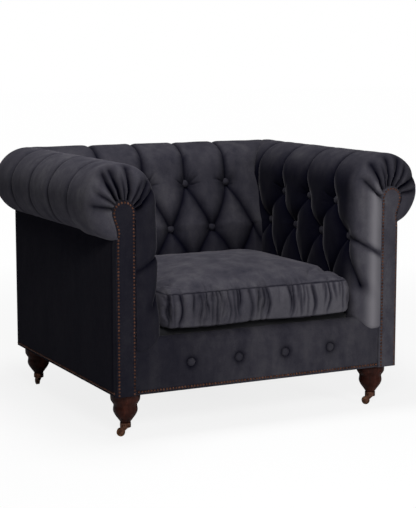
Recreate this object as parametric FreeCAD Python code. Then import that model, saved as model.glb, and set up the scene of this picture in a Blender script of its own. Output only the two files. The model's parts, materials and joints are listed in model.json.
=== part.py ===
import FreeCAD, Part
import math
import os

# Chesterfield armchair. Millimetres, +Z up, +X to the right as seen from the front, +Y to the back.
# The origin is on the floor, under the middle of the whole chair.
# Depths in this file are measured back from the front plane of the arm boards, and put() moves them.

V = FreeCAD.Vector
SIDES = {"left": -1, "right": 1}

# Overall form
BASE_HALF_WIDTH = 457.0
BASE_DEPTH = 803.0
BASE_BOTTOM = 127.0
BASE_TOP = 262.0
ROLL_RADIUS = 102.0
ROLL_HEIGHT = 664.0
ARM_ROLL_X = 428.0
BACK_ROLL_DEPTH = 752.0
FRONT_SWELL = 12.0
ORIGIN_DEPTH = (BACK_ROLL_DEPTH + ROLL_RADIUS - FRONT_SWELL) / 2

# Timber
POST_THICK = 28.0
RAIL_THICK = 25.0
BACK_ROLL_RAIL_THICK = 45.0
PANEL_THICK = 6.0
FRONT_RAIL_DEPTH = 12.0
REAR_POST_DEPTH = 745.0
POST_INNER_X = 400.0
ROLL_RAIL_BOTTOM = 590.0
ROLL_RAIL_TOP = 640.0
SLAT_BOTTOM = 265.0
SLAT_TOP = 290.0
RAIL_OUTER_X = BASE_HALF_WIDTH - PANEL_THICK
RAIL_INNER_X = RAIL_OUTER_X - RAIL_THICK
BACK_PANEL_INNER = BASE_DEPTH - PANEL_THICK
UPRIGHTS = [-230.0, 0.0, 230.0]
UPRIGHT_THICK = 24.0
BLOCK_INNER_X = 366.0
BLOCK_LENGTH = 60.0
REAR_BLOCK_DEPTH = 690.0

# Arm pads
ARM_FACE_X = 315.0
ARM_PAD_BACK_X = 390.0
ARM_PAD_BOTTOM = 283.0
FACING_INNER_X = 398.0
FACING_ARCH_RADIUS = 35.0
FACING_ARCH_X = 433.0
FACING_ARCH_HEIGHT = 636.0
FACING_THICK = 5.0
ROLL_FRONT_RADIUS = 105.0
ROLL_FRONT_X = 431.0
ROLL_FRONT_HEIGHT = 661.0
ROLL_FRONT_END = 162.0
ROLL_NOSE_DEPTH = 30.0
PAD_FOOT_HEIGHT = 240.0

# Inside back
BACK_BOTTOM = 290.0
BACK_FOOT_DEPTH = 560.0
BACK_WAIST = (590.0, 512.0)
BACK_PAD_THICK = 85.0
MITRE_START_X = 200.0
CORNER_STEP_HEIGHT = 600.0
CORNER_BANDS = 8

# Tufting: rows of (height, places along the row)
BUTTON_RADIUS = 12.0
BUTTON_THICK = 7.0
TUFT_DEPTH = 17.0
TUFT_MOUTH = 27.0
PLEAT_HALF_WIDTH = 6.0
PLEAT_DEPTH = 9.0
ARM_ROW_1 = (620.0, [162.0, 319.0, 475.0])
ARM_ROW_2 = (520.0, [83.0, 240.0, 398.0, 556.0])
ARM_PLEATS = [162.0, 319.0, 475.0, 632.0]
BACK_ROW_1 = (640.0, [-223.5, -74.5, 74.5, 223.5])
BACK_ROW_2 = (500.0, [-149.0, 0.0, 149.0])
FOLD_END_HEIGHT = 400.0

# The timber that each inside pad is wrapped round
RIGHT_TIMBER = ["front_post_right", "rear_post_right", "arm_roll_rail_right", "arm_slat_right"]
ARM_TIMBER = RIGHT_TIMBER + ["front_rail", "back_slat"]
BACK_TIMBER = ["back_roll_rail"] + [end + side for end in ("rear_post_", "arm_roll_rail_") for side in SIDES]

# Seat
CUSHION_HALF_WIDTH = 311.0
CUSHION_FRONT = -6.0
CUSHION_BACK = 554.0
CUSHION_BOTTOM = 304.0
CUSHION_SEAM = 400.0
CUSHION_CROWN = 448.0
CUSHION_CORNER = 32.0
COVER_THICK = 6.0
CORE_INSET = 34.0
SIDE_DRAW = 6.0
SEAM_INSET = 4.0
DECK_TOP = 303.0
DECK_FRONT = 48.0
DECK_HALF_WIDTH = 312.0
WEB_WIDTH = 60.0
WEB_THICK = 1.5
WEB_PITCH = 110.0

# Front border
BORDER_TOP = 283.0
BORDER_BUTTONS = [-228.0, -76.0, 76.0, 228.0]
BORDER_BUTTON_HEIGHT = 205.0
BORDER_BUTTON_DEPTH = 5.0

# Legs and casters
LEG_X = 407.0
LEG_DEPTHS = {"front": 54.0, "rear": 749.0}
LEG_TIP_RADIUS = 12.0
LEG_TIP_BOTTOM = 33.0
LEG_HEAD_RADIUS = 42.0
LEG_BULGE_RADIUS = 34.0
BOLT_RADIUS = 4.0
BOLT_LENGTH = 90.0
CUP_RADIUS = 15.5
CUP_BOTTOM = 27.0
CUP_TOP = 40.0
WHEEL_RADIUS = 12.0
WHEEL_WIDTH = 9.0
WHEEL_TRAIL = 13.0
AXLE_RADIUS = 2.0
STEM_RADIUS = 3.0
CHEEK_THICK = 2.0
CHEEK_GAP = 0.3
RUNNING_CLEARANCE = 0.05
# The way each wheel trails from its stem, in degrees from +X towards +Y
TRAIL_ANGLES = {"front_left": 153.0, "front_right": 153.0, "rear_left": 90.0, "rear_right": 120.0}


def put(node, solids):
    """Write one node: its solids, moved so that the origin is under the middle of the chair."""
    shape = solids[0] if len(solids) == 1 else Part.Compound(solids)
    shape = shape.copy()
    shape.translate(V(0, -ORIGIN_DEPTH, 0))
    shape.exportStep("parts/" + node + ".step")


def mirrored(shape, side):
    """The right-hand shape, or its mirror image on the left."""
    return shape if side > 0 else shape.mirror(V(0, 0, 0), V(1, 0, 0))


def box(x, y, z):
    """A block between the two ends given for each axis."""
    return Part.makeBox(x[1] - x[0], y[1] - y[0], z[1] - z[0], V(x[0], y[0], z[0]))


def face_of(edges):
    """A flat face bounded by edges that follow one another."""
    return Part.Face(Part.Wire(Part.__sortEdges__(edges)))


def line(a, b):
    return Part.makeLine(a, b)


def arc(a, middle, b):
    return Part.Arc(a, middle, b).toShape()


def prism(points, along):
    """A straight-sided outline, extruded."""
    return Part.Face(Part.makePolygon(points + points[:1])).extrude(along)


def on_circle(centre, radius, degrees):
    """A point on a circle in a plane whose first axis is X or depth and whose second is height."""
    turn = math.radians(degrees)
    return (centre[0] + radius * math.cos(turn), centre[1] + radius * math.sin(turn))


def tangent_from(point, centre, radius):
    """Where the line from a point below meets the near side of a circle."""
    away = (centre[0] - point[0], centre[1] - point[1])
    distance = math.hypot(away[0], away[1])
    heading = math.atan2(away[1], away[0]) + math.asin(radius / distance)
    length = math.sqrt(distance ** 2 - radius ** 2)
    return (point[0] + length * math.cos(heading), point[1] + length * math.sin(heading))


def clock(point, centre):
    """The angle in degrees of a point about a centre."""
    return math.degrees(math.atan2(point[1] - centre[1], point[0] - centre[0]))


ARM_ROLL = (ARM_ROLL_X, ROLL_HEIGHT)
BACK_ROLL = (BACK_ROLL_DEPTH, ROLL_HEIGHT)
ARM_TANGENT = tangent_from((ARM_FACE_X, ARM_PAD_BOTTOM), ARM_ROLL, ROLL_RADIUS)
BACK_TANGENT = tangent_from(BACK_WAIST, BACK_ROLL, ROLL_RADIUS)


def drop(centre, radius, across):
    """The height of the underside of a circle at a distance across from the plane's edge."""
    return centre[1] - math.sqrt(radius ** 2 - (across - centre[0]) ** 2)


def keyhole(depth):
    """The edges of the slim arm front: straight sides, a waist, and a round arch."""
    centre = (FACING_ARCH_X, FACING_ARCH_HEIGHT)
    shoulder = on_circle(centre, FACING_ARCH_RADIUS, -20)
    points = [
        (FACING_INNER_X, BASE_BOTTOM),
        (FACING_INNER_X, FACING_ARCH_HEIGHT),
        on_circle(centre, FACING_ARCH_RADIUS, 90),
        shoulder,
        (456.5, 605),
        (453, 585),
        (BASE_HALF_WIDTH, 545),
        (BASE_HALF_WIDTH, BASE_BOTTOM),
    ]
    p = [V(x, depth, z) for x, z in points]
    return [
        line(p[0], p[1]),
        arc(p[1], p[2], p[3]),
        arc(p[3], p[4], p[5]),
        line(p[5], p[6]),
        line(p[6], p[7]),
        line(p[7], p[0]),
    ]


def front_post():
    """The shaped board that stands behind each arm front."""
    return face_of(keyhole(0)).extrude(V(0, POST_THICK, 0))


def arm_facing():
    """The thinly padded cover of the arm front."""
    return face_of(keyhole(-FACING_THICK)).extrude(V(0, FACING_THICK, 0))


def rear_post():
    depth = (REAR_POST_DEPTH, BACK_PANEL_INNER)
    return box((POST_INNER_X, RAIL_OUTER_X), depth, (BASE_BOTTOM, ROLL_RAIL_TOP))


def side_rail():
    return box((RAIL_INNER_X, RAIL_OUTER_X), (POST_THICK, REAR_POST_DEPTH), (BASE_BOTTOM, BASE_TOP))


def arm_roll_rail():
    """The board along the middle of the arm roll, which the stuffing is rolled over."""
    height = (ROLL_RAIL_BOTTOM, ROLL_RAIL_TOP)
    return box((POST_INNER_X, RAIL_OUTER_X - 1), (POST_THICK, REAR_POST_DEPTH), height)


def arm_slat():
    """The tacking rail at the foot of the arm pad."""
    width = (ARM_PAD_BACK_X, ARM_PAD_BACK_X + RAIL_THICK)
    return box(width, (POST_THICK, REAR_POST_DEPTH), (SLAT_BOTTOM, SLAT_TOP))


def front_rail():
    return box(
        (-FACING_INNER_X, FACING_INNER_X),
        (FRONT_RAIL_DEPTH, FRONT_RAIL_DEPTH + RAIL_THICK),
        (BASE_BOTTOM, BASE_TOP),
    )


def rear_rail():
    return box(
        (-POST_INNER_X, POST_INNER_X),
        (BACK_PANEL_INNER - RAIL_THICK, BACK_PANEL_INNER),
        (BASE_BOTTOM, BASE_TOP),
    )


def back_roll_rail():
    return box(
        (-POST_INNER_X, POST_INNER_X),
        (REAR_POST_DEPTH, REAR_POST_DEPTH + BACK_ROLL_RAIL_THICK),
        (ROLL_RAIL_BOTTOM, ROLL_RAIL_TOP),
    )


def back_slat():
    """The tacking rail at the foot of the inside back, between the two arm slats."""
    start = BACK_FOOT_DEPTH + BACK_PAD_THICK
    return box((-ARM_PAD_BACK_X, ARM_PAD_BACK_X), (start, start + RAIL_THICK), (SLAT_BOTTOM, SLAT_TOP))


def back_pad_rear(height):
    """The depth of the rear face of the inside back, which leans as the front face does."""
    foot = BACK_FOOT_DEPTH + BACK_PAD_THICK
    waist = BACK_WAIST[0] + BACK_PAD_THICK
    if height <= BACK_WAIST[1]:
        return foot + (waist - foot) * (height - BACK_BOTTOM) / (BACK_WAIST[1] - BACK_BOTTOM)
    rise = (height - BACK_WAIST[1]) / (BACK_TANGENT[1] - BACK_WAIST[1])
    return waist + (BACK_TANGENT[0] - BACK_WAIST[0]) * rise


def back_uprights():
    """Three raked boards that carry the inside back from its slat to the roll rail."""
    top = ROLL_RAIL_BOTTOM
    reach = REAR_POST_DEPTH + BACK_ROLL_RAIL_THICK
    outline = [
        (back_pad_rear(BACK_BOTTOM), SLAT_TOP),
        (back_pad_rear(BACK_WAIST[1]), BACK_WAIST[1]),
        (back_pad_rear(top), top),
        (reach, top),
        (reach, top - 30),
        (back_pad_rear(BACK_WAIST[1]) + 40, BACK_WAIST[1] - 20),
        (back_pad_rear(BACK_BOTTOM) + RAIL_THICK, SLAT_TOP),
    ]
    boards = []
    for x in UPRIGHTS:
        side_view = [V(x - UPRIGHT_THICK / 2, d, z) for d, z in outline]
        boards.append(prism(side_view, V(UPRIGHT_THICK, 0, 0)))
    return boards


def corner_blocks():
    """A glue block in each corner of the base, which the bolt of its leg is driven into."""
    start = FRONT_RAIL_DEPTH + RAIL_THICK
    height = (BASE_BOTTOM, BASE_TOP)
    end = BACK_PANEL_INNER - RAIL_THICK
    blocks = []
    for side in (-1, 1):
        front = box((BLOCK_INNER_X, RAIL_INNER_X), (start, start + BLOCK_LENGTH), height)
        rear = box((BLOCK_INNER_X, RAIL_INNER_X), (REAR_BLOCK_DEPTH, REAR_POST_DEPTH), height)
        tongue = box((BLOCK_INNER_X, POST_INNER_X), (REAR_POST_DEPTH, end), height)
        blocks.append(mirrored(front, side))
        blocks.append(mirrored(rear.fuse(tongue).removeSplitter(), side))
    return blocks


def leg_bolts():
    """Screws driven into the wood of the legs and the blocks above them."""
    bolts = []
    for side in (-1, 1):
        for depth in LEG_DEPTHS.values():
            foot = V(side * LEG_X, depth, CUP_TOP + 47)
            bolts.append(Part.makeCylinder(BOLT_RADIUS, BOLT_LENGTH, foot))
    return bolts


def seat_webbing():
    """Straps from front to back, and straps from side to side lying on them."""
    straps = []
    half = WEB_WIDTH / 2
    middle = BASE_TOP + WEB_THICK
    for i in range(6):
        x = WEB_PITCH * (i - 2.5)
        depth = (FRONT_RAIL_DEPTH, BACK_PANEL_INNER)
        straps.append(box((x - half, x + half), depth, (BASE_TOP, middle)))
    for i in range(5):
        y = 120 + WEB_PITCH * i
        width = (-RAIL_OUTER_X, RAIL_OUTER_X)
        straps.append(box(width, (y - half, y + half), (middle, middle + WEB_THICK)))
    return straps


def deck_pad():
    """The padded platform under the cushion, with its front edge rounded."""
    width = (-DECK_HALF_WIDTH, DECK_HALF_WIDTH)
    pad = box(width, (DECK_FRONT, BACK_FOOT_DEPTH - 4), (SLAT_BOTTOM, DECK_TOP))
    top = [e for e in pad.Edges if e.BoundBox.ZMin > DECK_TOP - 1]
    return pad.makeFillet(14, [e for e in top if e.BoundBox.YMax < DECK_FRONT + 1])


def pad_nose_elevation():
    """The front view of the swollen arm front, with its foot rounded down to the arm board."""
    front = -2 * FRONT_SWELL
    inner = ARM_FACE_X - 5
    return face_of(
        [
            line(V(inner, front, ROLL_HEIGHT), V(inner, front, 300)),
            arc(V(inner, front, 300), V(345, front, 254), V(FACING_INNER_X, front, PAD_FOOT_HEIGHT)),
            line(V(FACING_INNER_X, front, PAD_FOOT_HEIGHT), V(FACING_INNER_X, front, ROLL_HEIGHT)),
            line(V(FACING_INNER_X, front, ROLL_HEIGHT), V(inner, front, ROLL_HEIGHT)),
        ]
    ).extrude(V(0, 100, 0))


def pad_nose():
    """The swollen front of the arm pad: rounded in plan, and leaning as the arm face does."""
    lean = (ARM_TANGENT[0] - ARM_FACE_X) / (ARM_TANGENT[1] - ARM_PAD_BOTTOM)
    inner = ARM_FACE_X - 1 - lean * ARM_PAD_BOTTOM
    plan = [
        (inner, ROLL_NOSE_DEPTH),
        (inner, 18),
        (inner + 4, 4),
        (inner + 16, -6),
        (inner + 34, 1 - FRONT_SWELL),
        (inner + 50, 1 - FRONT_SWELL),
        (FACING_INNER_X, -5),
        (FACING_INNER_X, ROLL_NOSE_DEPTH),
    ]
    solid = prism([V(x, y, 0) for x, y in plan], V(lean * ROLL_HEIGHT, 0, ROLL_HEIGHT))
    return solid.common(pad_nose_elevation())


def roll_nose():
    """The round front of the arm roll: slightly fuller before the first pleat, with a rolled rim."""
    outline = [
        (0, ROLL_FRONT_END),
        (ROLL_FRONT_RADIUS, ROLL_FRONT_END),
        (ROLL_FRONT_RADIUS, 24),
        (98, 0),
        (76, -FRONT_SWELL),
        (30, 3),
        (0, 3),
    ]
    centre = V(ROLL_FRONT_X, 0, ROLL_FRONT_HEIGHT)
    half = Part.Face(Part.makePolygon([centre + V(r, depth, 0) for r, depth in outline + outline[:1]]))
    return half.revolve(centre, V(0, 1, 0), 360)


def arm_wall():
    """The arm pad without its roll: a slab from the tacking rail up, its face leaning slightly out."""
    outline = [
        (ARM_FACE_X, ARM_PAD_BOTTOM),
        ARM_TANGENT,
        (ARM_ROLL_X, ROLL_HEIGHT),
        (ARM_PAD_BACK_X, drop(ARM_ROLL, ROLL_RADIUS, ARM_PAD_BACK_X) + 5),
        (ARM_PAD_BACK_X, ARM_PAD_BOTTOM),
    ]
    depth = ROLL_NOSE_DEPTH
    return prism([V(x, depth, z) for x, z in outline], V(0, REAR_POST_DEPTH - depth, 0))


def corner_ball():
    """The round outer corner between arm roll and back roll: a quarter of a ball, in bands."""
    centre = V(ARM_ROLL_X, BACK_ROLL_DEPTH, ROLL_HEIGHT)
    step = 180 / CORNER_BANDS
    rim = [on_circle((0, 0), ROLL_RADIUS, -90 + step * i) for i in range(CORNER_BANDS + 1)]
    half = Part.Face(Part.makePolygon([centre + V(r, 0, z) for r, z in rim + rim[:1]]))
    return half.revolve(centre, V(0, 0, 1), 90)


def arm_region():
    """The space of the right arm: all outside a mitre plane in the roll, and beside the seat below."""
    far = 700
    front = -60
    rear = BACK_ROLL_DEPTH + 2 * ROLL_RADIUS
    start = BACK_ROLL_DEPTH - ARM_ROLL_X + MITRE_START_X
    mitre = [(ARM_ROLL_X, rear), (ARM_ROLL_X, BACK_ROLL_DEPTH), (MITRE_START_X, start)]
    high = [(MITRE_START_X, front), (far, front), (far, rear)] + mitre
    upper = prism([V(x, y, CORNER_STEP_HEIGHT) for x, y in high], V(0, 0, 400))
    beside_seat = box((ARM_FACE_X - 5, far), (front, REAR_BLOCK_DEPTH), (0, CORNER_STEP_HEIGHT))
    under_corner = box((ARM_ROLL_X, far), (REAR_BLOCK_DEPTH, rear), (0, CORNER_STEP_HEIGHT))
    return upper.fuse([beside_seat, under_corner])


def channel(a, b, outward, half_width, depth):
    """A vee-shaped fold between two points of a padded face, to cut from it."""
    run = b - a
    length = run.Length
    run.normalize()
    out = V(outward)
    out.normalize()
    across = run.cross(out)
    section = [
        a + across * (-2.2 * half_width) + out * (1.2 * depth),
        a + across * (2.2 * half_width) + out * (1.2 * depth),
        a + out * (-depth),
    ]
    return prism(section, run * length)


def pleat(centre, radius, axis, start_point, sweep):
    """A pleat round a roll, to cut from it: one side upright, and one where the cloth folds under."""
    outward = start_point - centre
    outward.normalize()
    along = V(axis)
    section = [
        centre + outward * (radius + 2) + along * (1.6 * PLEAT_HALF_WIDTH),
        centre + outward * (radius + 2),
        centre + outward * (radius - PLEAT_DEPTH),
    ]
    return Part.Face(Part.makePolygon(section + section[:1])).revolve(centre, along, sweep)


def frustum(centre, axis, base_radius, top_radius, height, sides):
    """A many-sided frustum with flat faces, standing on a point along an axis."""
    out = V(axis)
    out.normalize()
    across = out.cross(V(0, 0, 1)) if abs(out.z) < 0.9 else V(1, 0, 0)
    across.normalize()
    up = across.cross(out)
    rings = []
    for radius, lift in ((base_radius, 0), (top_radius, height)):
        ring = []
        for i in range(sides):
            u, v = on_circle((0, 0), radius, 360 * i / sides)
            ring.append(centre + out * lift + across * u + up * v)
        rings.append(ring)
    low, high = rings
    faces = [Part.Face(Part.makePolygon(ring + ring[:1])) for ring in rings]
    for i in range(sides):
        j = (i + 1) % sides
        faces.append(Part.Face(Part.makePolygon([low[i], low[j], high[j], high[i], low[i]])))
    solid = Part.Solid(Part.Shell(faces))
    if solid.Volume < 0:
        solid.reverse()
    return solid


def tuft(point, outward):
    """The hollow that a button pulls into a padded face, to cut from it."""
    out = V(outward)
    out.normalize()
    return frustum(point - out * TUFT_DEPTH, out, BUTTON_RADIUS + 1, TUFT_MOUTH + 6, TUFT_DEPTH + 4, 8)


def button(point, outward, depth=TUFT_DEPTH):
    """A covered button with a sloping rim, seated at a depth below a point of the face."""
    out = V(outward)
    out.normalize()
    return frustum(point - out * depth, out, BUTTON_RADIUS, BUTTON_RADIUS * 0.62, BUTTON_THICK, 12)


def arm_face_point(depth, height):
    """A point of the right arm's inner face."""
    rise = (height - ARM_PAD_BOTTOM) / (ARM_TANGENT[1] - ARM_PAD_BOTTOM)
    return V(ARM_FACE_X + (ARM_TANGENT[0] - ARM_FACE_X) * rise, depth, height)


def back_face_point(x, height):
    """A point of the inside back's front face, above or below its waist."""
    if height >= BACK_WAIST[1]:
        rise = (height - BACK_WAIST[1]) / (BACK_TANGENT[1] - BACK_WAIST[1])
        return V(x, BACK_WAIST[0] + (BACK_TANGENT[0] - BACK_WAIST[0]) * rise, height)
    rise = (height - BACK_BOTTOM) / (BACK_WAIST[1] - BACK_BOTTOM)
    return V(x, BACK_FOOT_DEPTH + (BACK_WAIST[0] - BACK_FOOT_DEPTH) * rise, height)


def folds(row_1, row_2, place, outward, step):
    """Folds from each button of the upper row to its neighbours below, and from the lower row on down."""
    cuts = []
    for along in row_1[1]:
        head = place(along, row_1[0])
        for other in (along - step / 2, along + step / 2):
            if any(abs(other - p) < 12 for p in row_2[1]):
                foot = place(other, row_2[0])
                cuts.append(channel(head, foot, outward, PLEAT_HALF_WIDTH, PLEAT_DEPTH + 2))
    for along in row_2[1]:
        for other in (along - step * 0.3, along + step * 0.3):
            foot = place(other, FOLD_END_HEIGHT)
            cuts.append(channel(place(along, row_2[0]), foot, outward, PLEAT_HALF_WIDTH, PLEAT_DEPTH))
    return cuts


def arm_cuts():
    """Everything that is pressed into the arm pad: pleats over the roll, folds and button hollows."""
    outward = V(-1, 0, 0)
    step = ARM_ROW_1[1][1] - ARM_ROW_1[1][0]
    cuts = folds(ARM_ROW_1, ARM_ROW_2, arm_face_point, outward, step)
    under = clock((RAIL_OUTER_X, drop(ARM_ROLL, ROLL_RADIUS, RAIL_OUTER_X)), ARM_ROLL)
    start = clock(ARM_TANGENT, ARM_ROLL)
    for depth in ARM_PLEATS:
        centre = V(ARM_ROLL_X, depth, ROLL_HEIGHT)
        tangent = V(ARM_TANGENT[0], depth, ARM_TANGENT[1])
        cuts.append(pleat(centre, ROLL_RADIUS, V(0, 1, 0), tangent, start - under))
        foot = arm_face_point(depth, ARM_ROW_1[0])
        cuts.append(channel(tangent, foot, outward, PLEAT_HALF_WIDTH / 2, PLEAT_DEPTH))
    for height, places in (ARM_ROW_1, ARM_ROW_2):
        for depth in places:
            cuts.append(tuft(arm_face_point(depth, height), outward))
    return cuts


def arm_buttons():
    buttons = []
    for height, places in (ARM_ROW_1, ARM_ROW_2):
        for depth in places:
            buttons.append(button(arm_face_point(depth, height), V(-1, 0, 0)))
    return buttons


def inside_arm(timber):
    """The whole arm pad: wall, roll, swollen front and round rear corner, with pleats and tufts."""
    start = V(ARM_ROLL_X, ROLL_FRONT_END, ROLL_HEIGHT)
    roll = Part.makeCylinder(ROLL_RADIUS, BACK_ROLL_DEPTH - ROLL_FRONT_END, start, V(0, 1, 0))
    solid = roll.fuse([roll_nose(), arm_wall(), pad_nose(), corner_ball()])
    solid = solid.common(arm_region())
    open_front = face_of(keyhole(-60)).extrude(V(0, 60, 0))
    return solid.cut(timber + [open_front, outside_arm()] + arm_cuts())


def back_profile():
    """The outline of the inside back from the side: a raked front, the roll, and a raked rear face."""
    rear_top = on_circle(BACK_ROLL, ROLL_RADIUS, 0)
    under = on_circle(BACK_ROLL, ROLL_RADIUS, -120)
    points = {
        "foot": (BACK_FOOT_DEPTH, BACK_BOTTOM),
        "waist": BACK_WAIST,
        "tangent": BACK_TANGENT,
        "crown": on_circle(BACK_ROLL, ROLL_RADIUS, 80),
        "rear": rear_top,
        "keel": on_circle(BACK_ROLL, ROLL_RADIUS, -60),
        "under": under,
        "rear_waist": (back_pad_rear(BACK_WAIST[1]), BACK_WAIST[1]),
        "rear_foot": (back_pad_rear(BACK_BOTTOM), BACK_BOTTOM),
    }
    p = {name: V(-ARM_ROLL_X, y, z) for name, (y, z) in points.items()}
    return [
        line(p["foot"], p["waist"]),
        line(p["waist"], p["tangent"]),
        arc(p["tangent"], p["crown"], p["rear"]),
        arc(p["rear"], p["keel"], p["under"]),
        line(p["under"], p["rear_waist"]),
        line(p["rear_waist"], p["rear_foot"]),
        line(p["rear_foot"], p["foot"]),
    ]


def back_cuts():
    """Everything that is pressed into the inside back: pleats over the roll, folds and button hollows."""
    outward = V(0, -(BACK_TANGENT[1] - BACK_WAIST[1]), BACK_TANGENT[0] - BACK_WAIST[0])
    step = BACK_ROW_1[1][1] - BACK_ROW_1[1][0]
    cuts = folds(BACK_ROW_1, BACK_ROW_2, back_face_point, outward, step)
    start = clock(BACK_TANGENT, BACK_ROLL)
    under = clock((BACK_PANEL_INNER, drop(BACK_ROLL, ROLL_RADIUS, BACK_PANEL_INNER)), BACK_ROLL)
    for x in BACK_ROW_1[1]:
        centre = V(x, BACK_ROLL_DEPTH, ROLL_HEIGHT)
        tangent = V(x, BACK_TANGENT[0], BACK_TANGENT[1])
        cuts.append(pleat(centre, ROLL_RADIUS, V(-1, 0, 0), tangent, start - under))
        foot = back_face_point(x, BACK_ROW_1[0])
        cuts.append(channel(tangent, foot, outward, PLEAT_HALF_WIDTH / 2, PLEAT_DEPTH))
    for height, places in (BACK_ROW_1, BACK_ROW_2):
        for x in places:
            cuts.append(tuft(back_face_point(x, height), outward))
    return cuts


def back_buttons():
    outward = V(0, -(BACK_TANGENT[1] - BACK_WAIST[1]), BACK_TANGENT[0] - BACK_WAIST[0])
    buttons = []
    for height, places in (BACK_ROW_1, BACK_ROW_2):
        for x in places:
            buttons.append(button(back_face_point(x, height), outward))
    return buttons


def inside_back(timber):
    """The inside back between the arms, with its roll mitred to theirs."""
    solid = face_of(back_profile()).extrude(V(2 * ARM_ROLL_X, 0, 0))
    right = arm_region()
    return solid.cut([right, mirrored(right, -1)] + timber + back_cuts())


def outside_arm():
    """The flat outer side panel, tucked up under the roll."""
    top = drop(ARM_ROLL, ROLL_RADIUS, RAIL_OUTER_X)
    return box((RAIL_OUTER_X, BASE_HALF_WIDTH), (POST_THICK, BASE_DEPTH), (BASE_BOTTOM, top))


def outside_back():
    top = drop(BACK_ROLL, ROLL_RADIUS, BACK_PANEL_INNER)
    return box((-RAIL_OUTER_X, RAIL_OUTER_X), (BACK_PANEL_INNER, BASE_DEPTH), (BASE_BOTTOM, top))


def front_border():
    """The padded front of the base: a gently bellied face with a rolled top edge over the front rail."""
    x = -FACING_INNER_X
    back = FRONT_RAIL_DEPTH + RAIL_THICK
    outline = [
        (FRONT_RAIL_DEPTH, BASE_BOTTOM),
        (0, BASE_BOTTOM + 3),
        (-4, 205),
        (0, 262),
        (4, 277),
        (16, BORDER_TOP),
        (27, 281),
        (34, 274),
    ]
    low = BASE_TOP + 2 * WEB_THICK
    p = [V(x, y, z) for y, z in outline + [(back, low), (FRONT_RAIL_DEPTH, low)]]
    profile = [
        line(p[0], p[1]),
        line(p[1], p[2]),
        line(p[2], p[3]),
        arc(p[3], p[4], p[5]),
        arc(p[5], p[6], p[7]),
        line(p[7], p[8]),
        line(p[8], p[9]),
        line(p[9], p[0]),
    ]
    pad = face_of(profile).extrude(V(2 * FACING_INNER_X, 0, 0))
    end = pad_nose_elevation()
    cuts = [end, mirrored(end, -1)]
    for place in border_button_places():
        cuts.append(frustum(place, V(0, -1, 0), BUTTON_RADIUS + 1, 20, 10, 8))
    return pad.cut(cuts)


def border_button_places():
    return [V(x, BORDER_BUTTON_DEPTH, BORDER_BUTTON_HEIGHT) for x in BORDER_BUTTONS]


def front_buttons():
    return [button(place, V(0, -1, 0), 0) for place in border_button_places()]


def dust_cover():
    """The thin cloth under the base, cut out round the legs."""
    sheet = box(
        (-BASE_HALF_WIDTH + 4, BASE_HALF_WIDTH - 4), (4, BASE_DEPTH - 4), (BASE_BOTTOM - 1.5, BASE_BOTTOM)
    )
    reach = (LEG_HEAD_RADIUS + 1) / math.cos(math.pi / 8)
    holes = []
    for side in (-1, 1):
        for depth in LEG_DEPTHS.values():
            holes.append(frustum(V(side * LEG_X, depth, BASE_BOTTOM - 5), V(0, 0, 1), reach, reach, 10, 8))
    return sheet.cut(holes)


def cushion_ring(inset, height):
    """One level of the cushion: four sides, drawn in at their middles, between rounded corners."""
    x = CUSHION_HALF_WIDTH - inset
    front = CUSHION_FRONT + inset
    back = CUSHION_BACK - inset
    middle = (front + back) / 2
    k = CUSHION_CORNER * (1 - math.sqrt(0.5))
    ends = []
    edges = []
    for cx, cy, sx, sy in [(x, back, -1, -1), (-x, back, 1, -1), (-x, front, 1, 1), (x, front, -1, 1)]:
        a = V(cx, cy + sy * CUSHION_CORNER, height)
        b = V(cx + sx * CUSHION_CORNER, cy, height)
        edges.append(arc(a, V(cx + sx * k, cy + sy * k, height), b))
        ends.append((a, b))
    edges.append(arc(ends[0][1], V(0, back - SIDE_DRAW, height), ends[1][1]))
    edges.append(arc(ends[1][0], V(-x + SIDE_DRAW, middle, height), ends[2][0]))
    edges.append(arc(ends[2][1], V(0, front + SIDE_DRAW, height), ends[3][1]))
    edges.append(arc(ends[3][0], V(x - SIDE_DRAW, middle, height), ends[0][0]))
    return Part.Wire(Part.__sortEdges__(edges))


def crown_vault(half, reach):
    """A long block along Y whose top is the cushion's crown: steep by the seam, then nearly flat."""
    shoulder = half - 66
    p = [V(x, -reach, z) for x, z in [
        (-half, CUSHION_SEAM),
        (-half + 24, CUSHION_SEAM + 22),
        (-shoulder, CUSHION_CROWN - 10),
        (0, CUSHION_CROWN),
        (shoulder, CUSHION_CROWN - 10),
        (half - 24, CUSHION_SEAM + 22),
        (half, CUSHION_SEAM),
    ]]
    profile = [arc(p[0], p[1], p[2]), arc(p[2], p[3], p[4]), arc(p[4], p[5], p[6]), line(p[6], p[0])]
    return face_of(profile).extrude(V(0, 2 * reach, 0))


def cushion_form():
    """The crowned cushion: a boxing that bellies between two seams, and a top vaulted both ways."""
    boxing = [(10, CUSHION_BOTTOM), (0, 322), (-2, 360), (SEAM_INSET, CUSHION_SEAM)]
    sides = Part.makeLoft([cushion_ring(inset, height) for inset, height in boxing], True, True)
    length = CUSHION_BACK - CUSHION_FRONT
    across = crown_vault(CUSHION_HALF_WIDTH, length)
    along = crown_vault(length / 2, length)
    along.rotate(V(0, 0, 0), V(0, 0, 1), 90)
    middle = V(0, (CUSHION_FRONT + CUSHION_BACK) / 2, 0)
    top = across.translated(middle).common(along.translated(middle))
    above_seam = Part.Face(cushion_ring(SEAM_INSET, CUSHION_SEAM)).extrude(V(0, 0, 100))
    return sides.fuse(top.common(above_seam))


def cushion_core():
    """The foam slab inside the cushion."""
    return box(
        (-CUSHION_HALF_WIDTH + CORE_INSET, CUSHION_HALF_WIDTH - CORE_INSET),
        (CUSHION_FRONT + CORE_INSET, CUSHION_BACK - CORE_INSET),
        (CUSHION_BOTTOM + COVER_THICK, CUSHION_SEAM - COVER_THICK),
    )


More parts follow.
